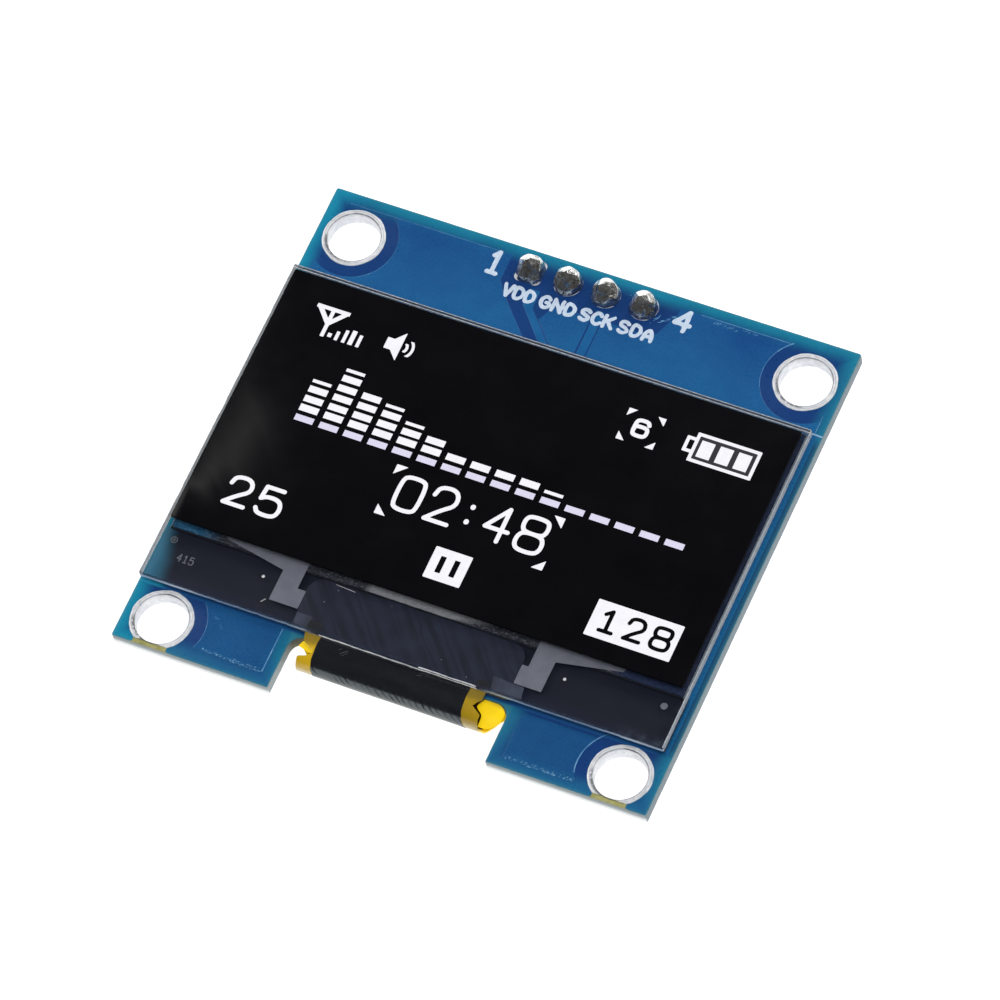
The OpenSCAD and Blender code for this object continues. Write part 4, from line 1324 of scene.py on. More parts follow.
def blob(i):
    """One hand-soldered joint: a drawn-up cone with soft set-back facets."""
    name = "pin_solder_%d" % (i + 1)
    x0, y0, z0, x1, y1, z1 = nbox(name)
    px, r0 = PIN_X[i], 0.925
    seed = np.random.default_rng(100 + i)
    planes = []
    for a, tilt, off in FACETS[i]:
        ca, ct = math.radians(a), math.radians(tilt)
        planes.append((math.cos(ca) * math.sin(ct), math.sin(ca) * math.sin(ct), math.cos(ct), off))
    lumps = [(math.cos(a) * q, math.sin(a) * q, s, w) for a, q, s, w in LUMPS[i]]
    n, m = 112, 60
    top = z1 - 1.0
    verts = []
    for j in range(m + 1):
        s = j / m
        for k in range(n):
            t = 2 * math.pi * k / n
            c, sn = math.cos(t), math.sin(t)
            rim = r0 * (1 + 0.02 * math.sin(3 * t + i) + 0.012 * math.sin(7 * t + 2 * i))
            if i == 0:
                rim = 0.88 / max(abs(c) ** 4 + abs(sn) ** 4, 1e-9) ** 0.25
                rim = min(rim, 1.0)
            u = s ** 0.9
            r = rim * (1 - u) if s < 1 else 0.0
            x, y = r * c, r * sn
            q = math.hypot(x, y) / rim
            z = top * (1 - q ** 2.35) ** 0.62 if q < 1 else 0.0
            for a, b, w, g in lumps:
                z += w * math.exp(-((x - a) ** 2 + (y - b) ** 2) / (g * g))
            for A, B, C, D in planes:
                lim = (D - A * x - B * y) / C
                k2 = 0.045
                h = max(k2 - abs(z - lim), 0) / k2
                z = min(z, lim) - h * h * k2 * 0.25
            edge = min(1.0, (1 - q) / 0.12) if q < 1 else 0.0
            z = max(z, 0.012) * (edge ** 0.55) if edge < 1 else max(z, 0.012)
            verts.append((px + x, PIN_Y + y, min(1.005 + z, z1 - 0.004)))
    faces = []
    for j in range(m - 1):
        for k in range(n):
            k1 = (k + 1) % n
            faces.append((j * n + k, j * n + k1, (j + 1) * n + k1, (j + 1) * n + k))
    tip = m * n
    for k in range(n):
        faces.append(((m - 1) * n + k, (m - 1) * n + (k + 1) % n, tip))
    verts = verts[:tip + 1]
    o = len(verts)
    for k in range(n):
        v = verts[k]
        verts.append((v[0], v[1], 0.985))
    for k in range(n):
        faces.append((k, o + k, o + (k + 1) % n, (k + 1) % n))
    faces.append(tuple(o + k for k in range(n)))
    B = Mesh().add(verts, faces)
    B.lathe(px, PIN_Y, [(0.93, -0.0), (0.9, -0.1), (0.78, -0.26), (0.6, -0.38), (0.36, -0.42), (0.34, -0.0)], 48,
            close=True)
    return B.make("joint_solder_%d" % (i + 1), M_SOLDER, "solder", replaces=[name], angle=60)


# (direction the facet faces, its tilt from up, distance of its plane)
FACETS = [
    [(140, 44, 1.06), (262, 52, 0.9), (345, 40, 1.1), (60, 40, 1.22), (205, 62, 0.87), (305, 60, 0.9)],
    [(135, 44, 1.05), (245, 50, 0.9), (330, 54, 0.92), (30, 38, 1.16), (285, 62, 0.87)],
    [(150, 44, 1.05), (262, 52, 0.9), (352, 46, 0.98), (70, 38, 1.2), (215, 60, 0.87)],
    [(120, 40, 1.08), (255, 50, 0.9), (15, 42, 1.06), (320, 56, 0.88), (190, 60, 0.86)],
]
LUMPS = [
    [(2.4, 0.35, 0.12, 0.24), (0.7, 0.42, 0.12, 0.2), (4.6, 0.5, -0.14, 0.22), (5.9, 0.3, 0.08, 0.14), (3.4, 0.5, -0.08, 0.14)],
    [(2.3, 0.4, 0.12, 0.22), (0.8, 0.4, 0.13, 0.2), (4.8, 0.42, -0.12, 0.2), (3.6, 0.45, 0.07, 0.14), (5.9, 0.5, -0.06, 0.12)],
    [(2.5, 0.4, 0.12, 0.22), (0.9, 0.42, 0.12, 0.2), (4.3, 0.4, -0.13, 0.18), (5.5, 0.5, 0.08, 0.14), (3.3, 0.5, -0.07, 0.12)],
    [(2.1, 0.4, 0.12, 0.24), (0.5, 0.42, 0.12, 0.22), (4.5, 0.4, -0.15, 0.22), (3.5, 0.4, 0.06, 0.14), (5.4, 0.45, 0.06, 0.12)],
]
for i in range(4):
    blob(i)


# ----------------------------------------------------------- panel glass
def slab(x0, x1, y0, y1, z0, z1, b, r=0.06, chips=0.0, seed=3, h=0.06):
    """Cut glass: flat faces, ground chamfers and slightly nibbled edges."""
    def f(X, Y):
        d = d_box(X, Y, x0, x1, y0, y1, r)
        if chips:
            n = np.maximum(ripple(X, Y, 1.0, 1.6, seed) - 0.35, 0) * chips * 1.6
            n = n + np.maximum(ripple(X, Y, 1.0, 5.0, seed + 1) - 0.3, 0) * chips * 0.6
            d = d + n
        return d
    m = 0.4
    loops = contours(f, x0 - m, x1 + m, y0 - m, y1 + m, h, 0.0015)
    M = Mesh()
    rings = [(b, z0), (0.0, z0 + b), (0.0, z1 - b), (b, z1)]
    M.plate(loops, rings, top=0, side=1, bottom=0)
    return M


glass = slab(GX0, GX1, GY0, GY1, GZ0 + 0.002, GZ1, 0.055, chips=0.03)
glass = glass.make("panel_front_glass", [M_GLASS, M_GROUND, M_GRSMOKE], "panel_glass", replaces=["front_glass"], angle=20)
back = slab(CX0, CX1, CY0, CY1, CZ0, CZ1, 0.05, chips=0.02, seed=8)
back = back.make("panel_rear_glass", [M_CAPGLASS, M_GROUND, M_GRREAR], "cover_glass", replaces=["cover_glass"], angle=20)
for ob, z_top in ((glass, 9.0), (back, 9.0)):
    for p in ob.data.polygons:
        if p.material_index == 1 and p.normal.y < -0.45 and p.center.z / MM < z_top:
            p.material_index = 2


# The bright nibbled line where the front edge of the glass was snapped.
def nibbles(X, Y):
    d = d_line(X, Y, [(-5.4, GY0), (-2.2, GY0 - 0.004), (0.2, GY0 + 0.004), (1.4, GY0)], 0.021)
    return d + ripple(X, Y, 0.008, 4.2, 15)


def nibbles_right(X, Y):
    return d_seg(X, Y, (1.25, GY0), (5.0, GY0), 0.02) + ripple(X, Y, 0.01, 4.6, 17)


def glass_chips():
    N = Nodes("glass_chips", Roughness=0.45)
    n = N.noise(7.0, 4, 0.7)
    N.set("Base Color", N.mix(N.rng(n, 0.3, 0.65), srgb(226, 229, 233), srgb(255, 255, 255)))
    N.bump(n, 0.7, 0.05)
    return N.mat


M_CHIP = glass_chips()


def tremor(a, b):
    return 0.018 * math.sin(3.1 * a + 0.6) + 0.012 * math.sin(8.7 * a) + 0.008 * math.sin(17.0 * a + 1.0)


def tremor_left(a, b):
    return tremor(a, b) - 0.013 * (a + 5.4)


chip = Mesh().plate(contours(nibbles, -6, 2, GY0 - 0.1, GY0 + 0.1, 0.014, 0.0015, least=5),
                    [(0.0, 1.79), (0.0, 1.91), (0.006, 1.922)], lift=tremor_left)
right_nibbles = contours(nibbles_right, 0.8, 5.6, GY0 - 0.1, GY0 + 0.1, 0.014, 0.0015, least=5)
chip.plate(right_nibbles, [(0.0, 2.03), (0.0, 2.13), (0.006, 2.142)], lift=tremor)
chip.plate(right_nibbles, [(0.0, 1.76), (0.0, 1.83), (0.006, 1.842)], lift=tremor)
chip.make("panel_glass_chips", M_CHIP, "panel_glass")

# ground edge lines of the far side, near the top of the photo
lines = Mesh()
lines.box(GX0 + 0.05, GX1 - 0.05, GY1 - 0.07, GY1 - 0.012, GZ1 - 0.04, GZ1 + 0.001, 0.012)
lines.box(GX0 + 0.05, GX1 - 0.05, GY1 - 0.26, GY1 - 0.2, GZ1 - 0.02, GZ1 + 0.001, 0.008)
lines.box(GX1 - 0.07, GX1 - 0.015, GY0 + 0.05, GY1 - 0.05, GZ1 - 0.04, GZ1 + 0.001, 0.012)
lines.make("panel_glass_edge_lines", M_FROST, "panel_glass")


# ----------------------------------------------------- the panel's ledge
LZ = 1.694                       # prints on the rear face of the front glass


def ring_of(X, Y, cx, cy, r, w):
    return np.abs(d_circle(X, Y, cx, cy, r)) - w


backing = Mesh().plate(contours(lambda X, Y: d_box(X, Y, GX0 + 0.04, GX1 - 0.04, GY0 + 0.15, -8.42, 0.05),
                                GX0 - 0.3, GX1 + 0.3, GY0 - 0.3, -8.0, 0.06),
                       [(0.0, 1.405), (0.0, 1.412), (0.01, 1.416)])
backing.make("ledge_backing", M_LEDGE, "tape_black", replaces=["shield_tape"])


def metal_shape(X, Y):
    l = d_poly(X, Y, [(-13.6, -7.84), (-13.4, -8.12), (-9.35, -8.9), (-9.35, -11.03), (-7.45, -11.03), (-7.45, -9.78),
                      (-8.02, -9.78), (-8.02, -7.84)], 0.012)
    r = d_poly(X, Y, [(13.0, -7.84), (12.85, -8.18), (8.75, -8.98), (8.72, -11.13), (6.94, -11.13), (6.94, -9.82),
                      (7.35, -9.82), (7.35, -7.84)], 0.012)
    return union(l, r)


prints = Mesh()
prints.plate(contours(metal_shape, -14, 13.5, -11.6, -7.7, 0.04), [(0.0, LZ - 0.004), (0.0, LZ), (0.004, LZ + 0.003)])
prints.make("ledge_electrodes", M_ELEC, "emitter")


def marks_shape(X, Y):
    d = ring_of(X, Y, -16.53, -9.3, 0.2, 0.022)
    d = union(d, d_seg(X, Y, (-16.68, -9.3), (-16.38, -9.3), 0.016), d_seg(X, Y, (-16.53, -9.45), (-16.53, -9.15), 0.016))
    d = np.minimum(d, glyphs(X, Y, "415", -15.82, -10.56, 0.24, 0.5, 0.16, 0.034))
    d = union(d, d_circle(X, Y, 16.05, -9.45, 0.225))
    return d


def pips(X, Y):
    return union(d_circle(X, Y, -10.32, -9.73, 0.1), d_circle(X, Y, 9.73, -9.85, 0.1),
                 d_circle(X, Y, -6.1, -10.05, 0.02), d_circle(X, Y, -2.1, -8.9, 0.016), d_circle(X, Y, -5.6, -9.05, 0.02),
                 d_circle(X, Y, 2.2, -11.2, 0.02), d_circle(X, Y, 5.5, -11.9, 0.03), d_circle(X, Y, 4.1, -11.75, 0.02),
                 d_seg(X, Y, (-9.75, -11.35), (-9.55, -11.1), 0.02), d_seg(X, Y, (-5.9, -8.72), (-4.6, -8.8), 0.012))


def mark_ink():
    N = Nodes("ledge_marks", Roughness=0.5)
    n = N.noise(14.0, 3)
    N.set("Base Color", N.mix(N.rng(n, 0.3, 0.7), srgb(104, 108, 118), srgb(138, 142, 150)))
    N.bump(n, 0.1, 0.01)
    return N.mat


M_MARK = mark_ink()
marks = Mesh()
marks.plate(contours(marks_shape, -17, 17, -12, -8.6, 0.022, 0.002), [(0.0, LZ - 0.003), (0.0, LZ), (0.003, LZ + 0.003)])
marks.make("ledge_prints", M_MARK, "emitter")
spots = Mesh().plate(contours(pips, -11, 11, -12, -8.6, 0.016, 0.001),
                     [(0.0, LZ + 0.0035), (0.0, LZ + 0.0045), (0.003, LZ + 0.005)])
spots.make("ledge_bright_spots", M_CHIP, "emitter")


def resin_shape(X, Y):
    d = d_box(X, Y, -7.42, 6.93, GY0 - 2, -8.62, 1.0)
    d = np.maximum(d, GY0 + 0.06 - Y)
    return d + ripple(X, Y, 0.03, 0.9, 51)


patch = Mesh().plate(contours(resin_shape, -8.2, 7.8, GY0 - 0.3, -8.2, 0.05),
                     [(0.0, 1.43), (0.0, 1.52), (0.03, 1.56), (0.12, 1.575)])
patch.plate(contours(resin_shape, -8.2, 7.8, GY0 - 0.3, -8.2, 0.05), [(0.0, 1.691), (0.0, 1.6965), (0.004, 1.6975)])
patch.make("chip_resin_patch", M_RESIN, "resin_slate", replaces=["chip_resin"])


# small lilac windows and brown ears of the cable at the patch's lower corners
def window_shape(X, Y):
    a = d_poly(X, Y, [(-7.3, -11.25), (-6.35, -11.25), (-6.35, -12.15), (-7.2, -12.15)], 0.05)
    b = d_poly(X, Y, [(5.75, -11.2), (7.6, -11.3), (7.75, -11.95), (7.3, -12.15), (5.9, -12.15)], 0.08)
    return union(a, b) + ripple(X, Y, 0.05, 1.6, 61)


def window_ink():
    N = Nodes("bond_window", Roughness=0.5)
    x, y, z = N.xyz()
    n = N.noise(1.4, 4, 0.6)
    col = N.mix(N.rng(n, 0.3, 0.7), srgb(56, 61, 80), srgb(76, 82, 101))
    fringe = N.rng(N.math("ABSOLUTE", N.math("ADD", x, 0.35)), 6.5, 5.95, 0.0, 1.0)
    col = N.mix(fringe, col, srgb(56, 57, 68))
    N.set("Base Color", col)
    N.bump(n, 0.1, 0.02)
    return N.mat


M_WIN = window_ink()
win = Mesh().plate(contours(window_shape, -8, 8.2, -12.29, -10.8, 0.04),
                   [(0.0, 1.698), (0.0, 1.699), (0.004, 1.6994)])
win.make("bond_windows", M_WIN, "bond_film")


def ears_shape(X, Y):
    a = d_box(X, Y, -6.38, -5.5, -12.22, -11.42, 0.08)
    b = d_box(X, Y, 4.85, 5.62, -12.22, -11.62, 0.08)
    return union(a, b) + ripple(X, Y, 0.04, 2.0, 63)


def ear_ink():
    N = Nodes("cable_end_seen_through_glass", Roughness=0.5)
    n = N.noise(2.2, 4, 0.6)
    N.set("Base Color", N.mix(N.rng(n, 0.3, 0.7), srgb(24, 27, 34), srgb(44, 45, 48)))
    N.bump(n, 0.1, 0.02)
    return N.mat


M_EAR = ear_ink()
ear = Mesh().plate(contours(ears_shape, -7, 6.3, -12.29, -11.0, 0.04), [(0.0, 1.6995), (0.0, 1.7003), (0.004, 1.7006)])
ear.make("cable_ears_under_glass", M_EAR, "flex_amber")

bead = Mesh()


def bead_shape(X, Y):
    d = d_box(X, Y, CX0 + 0.1, CX1 - 0.1, -8.47, -7.75, 0.05)
    return d + ripple(X, Y, 0.02, 3.0, 71)


sx0, sy0, sz0, sx1, sy1, sz1 = nbox("edge_seal")


def seal_shape(X, Y):
    """The bead that joins the two glasses, all the way round."""
    d = d_box(X, Y, sx0 + 0.02, sx1 - 0.02, sy0 + 0.02, sy1 - 0.02, 0.2)
    return cut(d, d_box(X, Y, sx0 + 0.7, sx1 - 0.7, sy0 + 0.7, sy1 - 0.7, 0.3)) + ripple(X, Y, 0.02, 1.4, 73)


Mesh().plate(contours(seal_shape, sx0 - 0.3, sx1 + 0.3, sy0 - 0.3, sy1 + 0.3, 0.07),
             [(0.02, sz0 + 0.002), (0.0, sz0 + 0.008), (0.0, 1.678), (0.015, 1.684)]).make(
    "edge_seal_ring", M_SEAL, "edge_seal", replaces=["edge_seal"])
bead.plate(contours(bead_shape, CX0 - 0.2, CX1 + 0.2, -8.75, -7.5, 0.05), [(0.0, 1.66), (0.02, 1.688)])
bead.make("seal_lower_run", M_SEAL, "edge_seal")


# ---------------------------------------------------------- viewing film
FT = FZ1 - 0.008
film = Mesh().plate(contours(lambda X, Y: d_box(X, Y, FX0, FX1, FY0, FY1, 0.1) + np.abs(ripple(X, Y, 0.004, 3.0, 81)),
                             FX0 - 0.3, FX1 + 0.3, FY0 - 0.3, FY1 + 0.3, 0.08),
                    [(0.0, FZ0 + 0.002), (0.0, FT - 0.02), (0.007, FT - 0.006), (0.022, FT)])
film.make("viewing_film", M_FILM, "polarizer_black", replaces=["polarizer"], angle=40)


# ------------------------------------------------------- what is lit up
def mast(X, Y):
    d = d_poly(X, Y, [(-14.82, 8.3), (-12.6, 8.3), (-12.6, 8.56), (-14.82, 8.56)])
    d = union(d, d_line(X, Y, [(-14.62, 8.42), (-13.68, 7.4), (-12.78, 8.42)], 0.15))
    d = union(d, d_box(X, Y, -13.81, -13.56, 6.45, 8.4))
    d = union(d, d_box(X, Y, -13.36, -13.1, 6.56, 6.84))
    for x, y1 in ((-12.77, 7.12), (-12.27, 7.38), (-11.32, 7.34)):
        d = union(d, d_box(X, Y, x - 0.11, x + 0.11, 6.48, y1))
    return union(d, d_box(X, Y, -11.96, -11.66, 6.48, 7.5))


def speaker(X, Y):
    d = d_poly(X, Y, [(-9.72, 7.05), (-9.28, 7.05), (-8.72, 6.45), (-8.72, 8.4), (-9.28, 7.8), (-9.72, 7.8)], 0.02)
    for r in (0.42, 0.8):
        a = np.abs(d_circle(X, Y, -8.75, 7.43, r)) - 0.09
        d = union(d, np.maximum(np.maximum(a, -8.52 - X), np.abs(Y - 7.43) - 0.62 * r - 0.05))
    return d


def brackets(X, Y):
    d = None
    for a in ([(6.25, 8.3), (6.8, 8.3), (6.25, 7.75)], [(8.7, 8.3), (8.15, 8.3), (8.7, 7.75)],
              [(6.25, 6.05), (6.8, 6.05), (6.25, 6.6)], [(8.7, 6.05), (8.15, 6.05), (8.7, 6.6)],
              [(-5.55, -0.15), (-4.8, -0.15), (-5.55, -0.85)], [(5.65, -0.12), (4.92, -0.12), (5.65, -0.85)],
              [(-5.55, -3.72), (-4.8, -3.72), (-5.55, -3.05)], [(5.7, -3.88), (4.95, -3.88), (5.7, -3.2)]):
        s = d_poly(X, Y, a)
        d = s if d is None else np.minimum(d, s)
    return d


def battery(X, Y):
    out = d_box(X, Y, 10.9, 15.1, 6.1, 8.15, 0.05)
    d = cut(out, d_box(X, Y, 11.12, 14.88, 6.32, 7.93))
    d = union(d, cut(d_box(X, Y, 10.35, 11.0, 6.65, 7.75, 0.03), d_box(X, Y, 10.57, 10.9, 6.87, 7.53)))
    for a, b in ((11.33, 12.2), (12.55, 13.42), (13.76, 14.63)):
        d = union(d, d_box(X, Y, a, b, 6.53, 7.7))
    return d


def pause_box(X, Y):
    d = d_box(X, Y, -0.98, 1.45, -6.7, -4.5, 0.06)
    return cut(d, d_box(X, Y, -0.42, -0.06, -6.18, -5.02), d_box(X, Y, 0.5, 0.86, -6.18, -5.02))


def track_box(X, Y):
    d = d_box(X, Y, 9.75, 15.35, -6.95, -4.42, 0.05)
    return cut(d, glyphs(X, Y, "128", 10.4, -6.38, 1.0, 1.4, 0.72, 0.13))


def digits_big(X, Y):
    d = glyphs(X, Y, "02", -4.75, -3.0, 1.5, 2.3, 0.72, 0.14)
    d = np.minimum(d, glyphs(X, Y, ":", -0.62, -2.95, 1.3, 2.3, 0.7, 0.16))
    return np.minimum(d, glyphs(X, Y, "48", 1.2, -3.0, 1.5, 2.3, 0.72, 0.14))


def digits_low(X, Y):
    return glyphs(X, Y, "25", -14.6, -6.15, 1.35, 1.85, 0.75, 0.14)


def digit_band(X, Y):
    return glyphs(X, Y, "6", 7.05, 6.66, 0.84, 1.04, 0.4, 0.13)


LEVELS = [4.3, 6.3, 5.0, 4.3, 3.3, 3.0, 2.0, 2.0, 2.0, 2.0, 1.3, 1.0, 1.0, 1.0, 1.0, 1.0]
ROWS = [(0.42, 0.85), (1.13, 1.6), (1.8, 2.25), (2.5, 2.95), (3.2, 3.65), (3.9, 4.35), (4.6, 5.05)]


def level_bars():
    M = Mesh()
    for i, n in enumerate(LEVELS):
        xl = -12.87 + 1.6525 * i
        drop = -0.010 * (xl + 0.62)
        for k in range(7):
            y0, y1 = ROWS[k]
            if n >= k + 1:
                pass
            elif n > k:
                y1 = y0 + 0.22
            else:
                break
            loops = [np.array([(xl, y0 + drop), (xl + 1.24, y0 + drop), (xl + 1.24, y1 + drop), (xl, y1 + drop)])]
            M.plate(loops, [(0.0, FT - 0.003), (0.0, FZ1 - 0.002), (0.01, FZ1)], top=1 if k == 0 else 0,
                    side=1 if k == 0 else 0)
    return M


bars = level_bars()
bars.make("lit_level_bars", [M_LIT, M_LIT2], "emitter")
lit_rings = [(0.0, FT - 0.003), (0.0, FZ1 - 0.002), (0.01, FZ1)]
for name, fn, bx in (
    ("lit_signal", mast, (-15, -11, 6.2, 8.8)), ("lit_speaker", speaker, (-10, -7.6, 6.2, 8.6)),
    ("lit_brackets", brackets, (-6, 9, -4.2, 8.6)), ("lit_band_digit", digit_band, (6.5, 8.4, 6.3, 8.1)),
    ("lit_battery", battery, (10, 15.5, 5.8, 8.4)), ("lit_pause", pause_box, (-1.3, 1.8, -7, -4.2)),
    ("lit_track_box", track_box, (9.4, 15.7, -7.3, -4.1)), ("lit_clock_digits", digits_big, (-5.2, 5.6, -3.5, -0.3)),
    ("lit_count_digits", digits_low, (-15, -10.6, -6.6, -4.0)),
):
    Mesh().plate(contours(fn, *bx, 0.035, 0.002), lit_rings).make(name, M_LIT, "emitter")

# grey field inside the battery sign
M_DIM = lit("lit_grey", (0.014, 0.013, 0.02), 1.0)
field = Mesh().plate(contours(lambda X, Y: d_box(X, Y, 11.1, 14.9, 6.3, 7.95), 10.8, 15.2, 6.0, 8.2, 0.06),
                     [(0.0, FT - 0.004), (0.0, FT + 0.0005), (0.004, FT + 0.001)])
field.make("lit_battery_field", M_DIM, "emitter")


# ------------------------------------------------------------- the cable
FLEX_X, FLEX_W, FLEX_T = -0.2, 12.1, 0.1
ROLL_Y, ROLL_Z, ROLL_R = -13.25, 0.61, 1.07
RIGHT_EDGE = ([-14.6, -14.3, -14.1, -13.63, -13.04, -12.4, -12.15, -11.35, -7.0],
              [6.02, 6.05, 6.12, 6.27, 6.58, 7.3, 8.05, 9.75, 9.75])
LEFT_EDGE = ([-14.6, -12.9, -12.76, -12.1, -11.35, -7.0], [-6.25, -6.25, -6.4, -7.15, -9.95, -9.95])


def cable_path(y_start, tail):
    """Outer face from the ledge, round the roll, to the tail: (y, z, ny, nz, part)."""
    pts = []
    for i in range(22):
        pts.append((y_start + (ROLL_Y - y_start) * i / 22, ROLL_Z + ROLL_R, 0.0, 1.0, 0))
    n = 72
    for i in range(n + 1):
        a = math.pi / 2 + math.pi * i / n
        pts.append((ROLL_Y + ROLL_R * math.cos(a), ROLL_Z + ROLL_R * math.sin(a), math.cos(a), math.sin(a),
                    0 if i <= n // 2 else 1))
    if tail:
        za = ROLL_Z - ROLL_R
        for i in range(1, 25):
            s = i / 24
            y = ROLL_Y + (-11.95 - ROLL_Y) * s
            z = za + (-0.1 - za) * s
            pts.append((y, z, 0.266, -0.964, 1))
        for i in range(1, 25):
            pts.append((-11.95 + (-7.3 + 11.95) * i / 24, -0.1, 0.0, -1.0, 1))
    return pts


def cable_sides(y, z, part):
    xl, xr = FLEX_X - FLEX_W / 2, FLEX_X + FLEX_W / 2
    if part == 0:
        if z > ROLL_Z:
            xr = float(np.interp(y, [-14.4, -14.05, -13.78, -13.55, -13.35, -13.05, -12.83, -12.2],
                                 [5.8, 5.77, 5.82, 5.5, 5.2, 5.36, 5.6, 5.62]))
            xl = float(np.interp(y, [-14.4, -13.9, -13.84, -13.72, -13.5, -13.28, -12.85, -12.35, -12.2],
                                 [-6.22, -6.22, -6.16, -5.72, -5.4, -5.4, -6.2, -6.34, -6.36]))
        else:
            xr, xl = 5.81, -6.22
    else:
        xr = max(xr, float(np.interp(y, *RIGHT_EDGE)))
        xl = min(xl, float(np.interp(y, *LEFT_EDGE)))
    return xl, xr


def sheet(path, sides, off0, off1, cols, fn=None):
    """Closed shell between two offsets of a path, cols wide."""
    verts, rows = [], len(path)
    for off in (off1, off0):
        for k, (y, z, ny, nz, part) in enumerate(path):
            xl, xr = sides(y, z, part)
            for c in range(cols + 1):
                x = xl + (xr - xl) * c / cols
                o = off + (fn(x, k) if fn and off == off1 else 0.0)
                verts.append((x, y + ny * o, z + nz * o))
    W = cols + 1
    H = rows * W
    faces = []
    for k in range(rows - 1):
        for c in range(cols):
            a, b = k * W + c, k * W + c + 1
            faces.append((a, b, b + W, a + W))
            faces.append((H + a, H + a + W, H + b + W, H + b))
        a = k * W
        faces.append((a, a + W, H + a + W, H + a))
        b = k * W + cols
        faces.append((b, H + b, H + b + W, b + W))
    for c in range(cols):
        faces.append((c, H + c, H + c + 1, c + 1))
        e = (rows - 1) * W + c
        faces.append((e, e + 1, H + e + 1, H + e))
    return Mesh().add(verts, faces)


def waver(x, k):
    """Slight unevenness of the film between its margins."""
    return -0.006 + 0.005 * math.sin(1.9 * x + 0.11 * k) * math.sin(0.7 * x + 1.0)


film_path = cable_path(-12.25, True)
cable = sheet(film_path, cable_sides, -FLEX_T, 0.0, 72, waver)
half = len(cable.v) // 2
for i, face in enumerate(cable.f):
    mx = sum(cable.v[k][0] for k in face) / len(face)
    if min(face) >= half and abs(mx - FLEX_X) < 5.72:
        cable.m[i] = 1


def shoulder(rows, left, right, height, cols=22, seed=1.0):
    """A fold of the wide end that lies up in the notch; given as the camera's
    sight lines cut the plane z = 1.68, so it fills the gap beside the roll."""
    verts, n = [], len(rows)
    for under in (0.0, -0.06):
        for v in rows:
            z0 = float(np.interp(-v, *height))
            a, b = float(np.interp(-v, *left)), float(np.interp(-v, *right))
            for c in range(cols + 1):
                u = a + (b - a) * c / cols
                z = z0 + under + 0.02 * math.sin(2.2 * u + seed) * math.sin(2.6 * v)
                k = 1.68 - z
                verts.append((u - 0.339 * k, v + 0.464 * k, z))
    W, H, faces = cols + 1, n * (cols + 1), []
    for k in range(n - 1):
        for c in range(cols):
            a = k * W + c
            faces += [(a, a + 1, a + 1 + W, a + W), (H + a, H + a + W, H + a + 1 + W, H + a + 1)]
        a, b = k * W, k * W + cols
        faces += [(a, a + W, H + a + W, H + a), (b, H + b, H + b + W, b + W)]
    for c in range(cols):
        e = (n - 1) * W + c
        faces += [(c, H + c, H + c + 1, c + 1), (e, e + 1, H + e + 1, H + e)]
    return verts, faces


def curve_right(v):
    """Right limit of the right fold: the round corner of the notch, then its own cut."""
    q = 0.85 ** 2 - (v + 13.615) ** 2
    a = 6.53 + math.sqrt(max(q, 0.0)) if v > -13.615 else 7.38
    return min(a, float(np.interp(-v, [13.9, 14.0, 14.45, 14.62], [7.31, 7.3, 6.93, 6.62])))


rows = [-12.775 - 1.845 * i / 34 for i in range(35)]
v1, f1 = shoulder(rows, ([12.77, 13.05, 13.27, 13.36, 13.45, 13.55, 13.74, 13.83, 13.95, 14.2, 14.62],
                        [5.8, 5.63, 5.53, 5.51, 5.57, 5.68, 5.93, 6.0, 6.05, 6.07, 6.1]),
                  ([-r for r in rows], [curve_right(r) for r in rows]), ([12.77, 13.1, 13.7, 14.62], [0.92, 0.84, 0.6, 0.3]))
rows = [-12.8 - 0.76 * i / 16 for i in range(17)]
v2, f2 = shoulder(rows, ([12.8, 13.0, 13.28, 13.36, 13.44, 13.56], [-6.12, -6.22, -6.34, -6.3, -6.0, -5.55]),
                  ([12.8, 13.56], [-5.2, -5.2]), ([12.8, 13.56], [0.92, 0.68]), 16, 2.0)
cable.add(v1, f1, 2)
cable.add(v2, f2, 2)
cable = cable.make("cable_film", [M_AMBER, M_AMBER_IN, M_FLAP], "flex_amber", replaces=["flex_base"], angle=40)

coat_path = cable_path(-12.3, False)
fine = []
for a, b in zip(coat_path[:-1], coat_path[1:]):
    fine.append(a)
    m = [(p + q) / 2 for p, q in zip(a[:4], b[:4])]
    L = math.hypot(m[2], m[3])
    fine.append((m[0], m[1], m[2] / L, m[3] / L, a[4]))
fine.append(coat_path[-1])
coat_path = fine
arcs = [0.0]
for a, b in zip(coat_path[:-1], coat_path[1:]):
    arcs.append(arcs[-1] + math.hypot(b[0] - a[0], b[1] - a[1]))


def weave(x, k):
    """Diagonal ridges pressed into the coating by the copper beneath it."""
    s = arcs[k]
    ph = (x + s * 1.0) / 0.45
    f = 0.5 + 0.5 * math.cos(2 * math.pi * ph)
    keep = 0.5 + 0.5 * math.sin(1.3 * x + 0.7) * math.sin(0.45 * x - 0.4)
    w = 0.0035 * (f ** 2) * (0.5 + 0.5 * keep)
    slack = 0.004 * math.sin(0.9 * x + 0.5) * math.sin(1.4 * s)
    return -0.009 + w + slack


def coat_sides(y, z, part):
    k = 0.02 * math.sin(5.0 * y) + 0.015 * math.sin(11.0 * z)
    t = min(max((1.71 - z) / 1.5, 0.0), 1.0)
    return -5.3 + 0.22 * t + k, 4.63 + 0.3 * t + k


coat = sheet(coat_path, coat_sides, 0.0, 0.03, 200, weave)
coat = coat.make("cable_coating", M_COAT, "flex_black", replaces=["flex_coating"], angle=60)


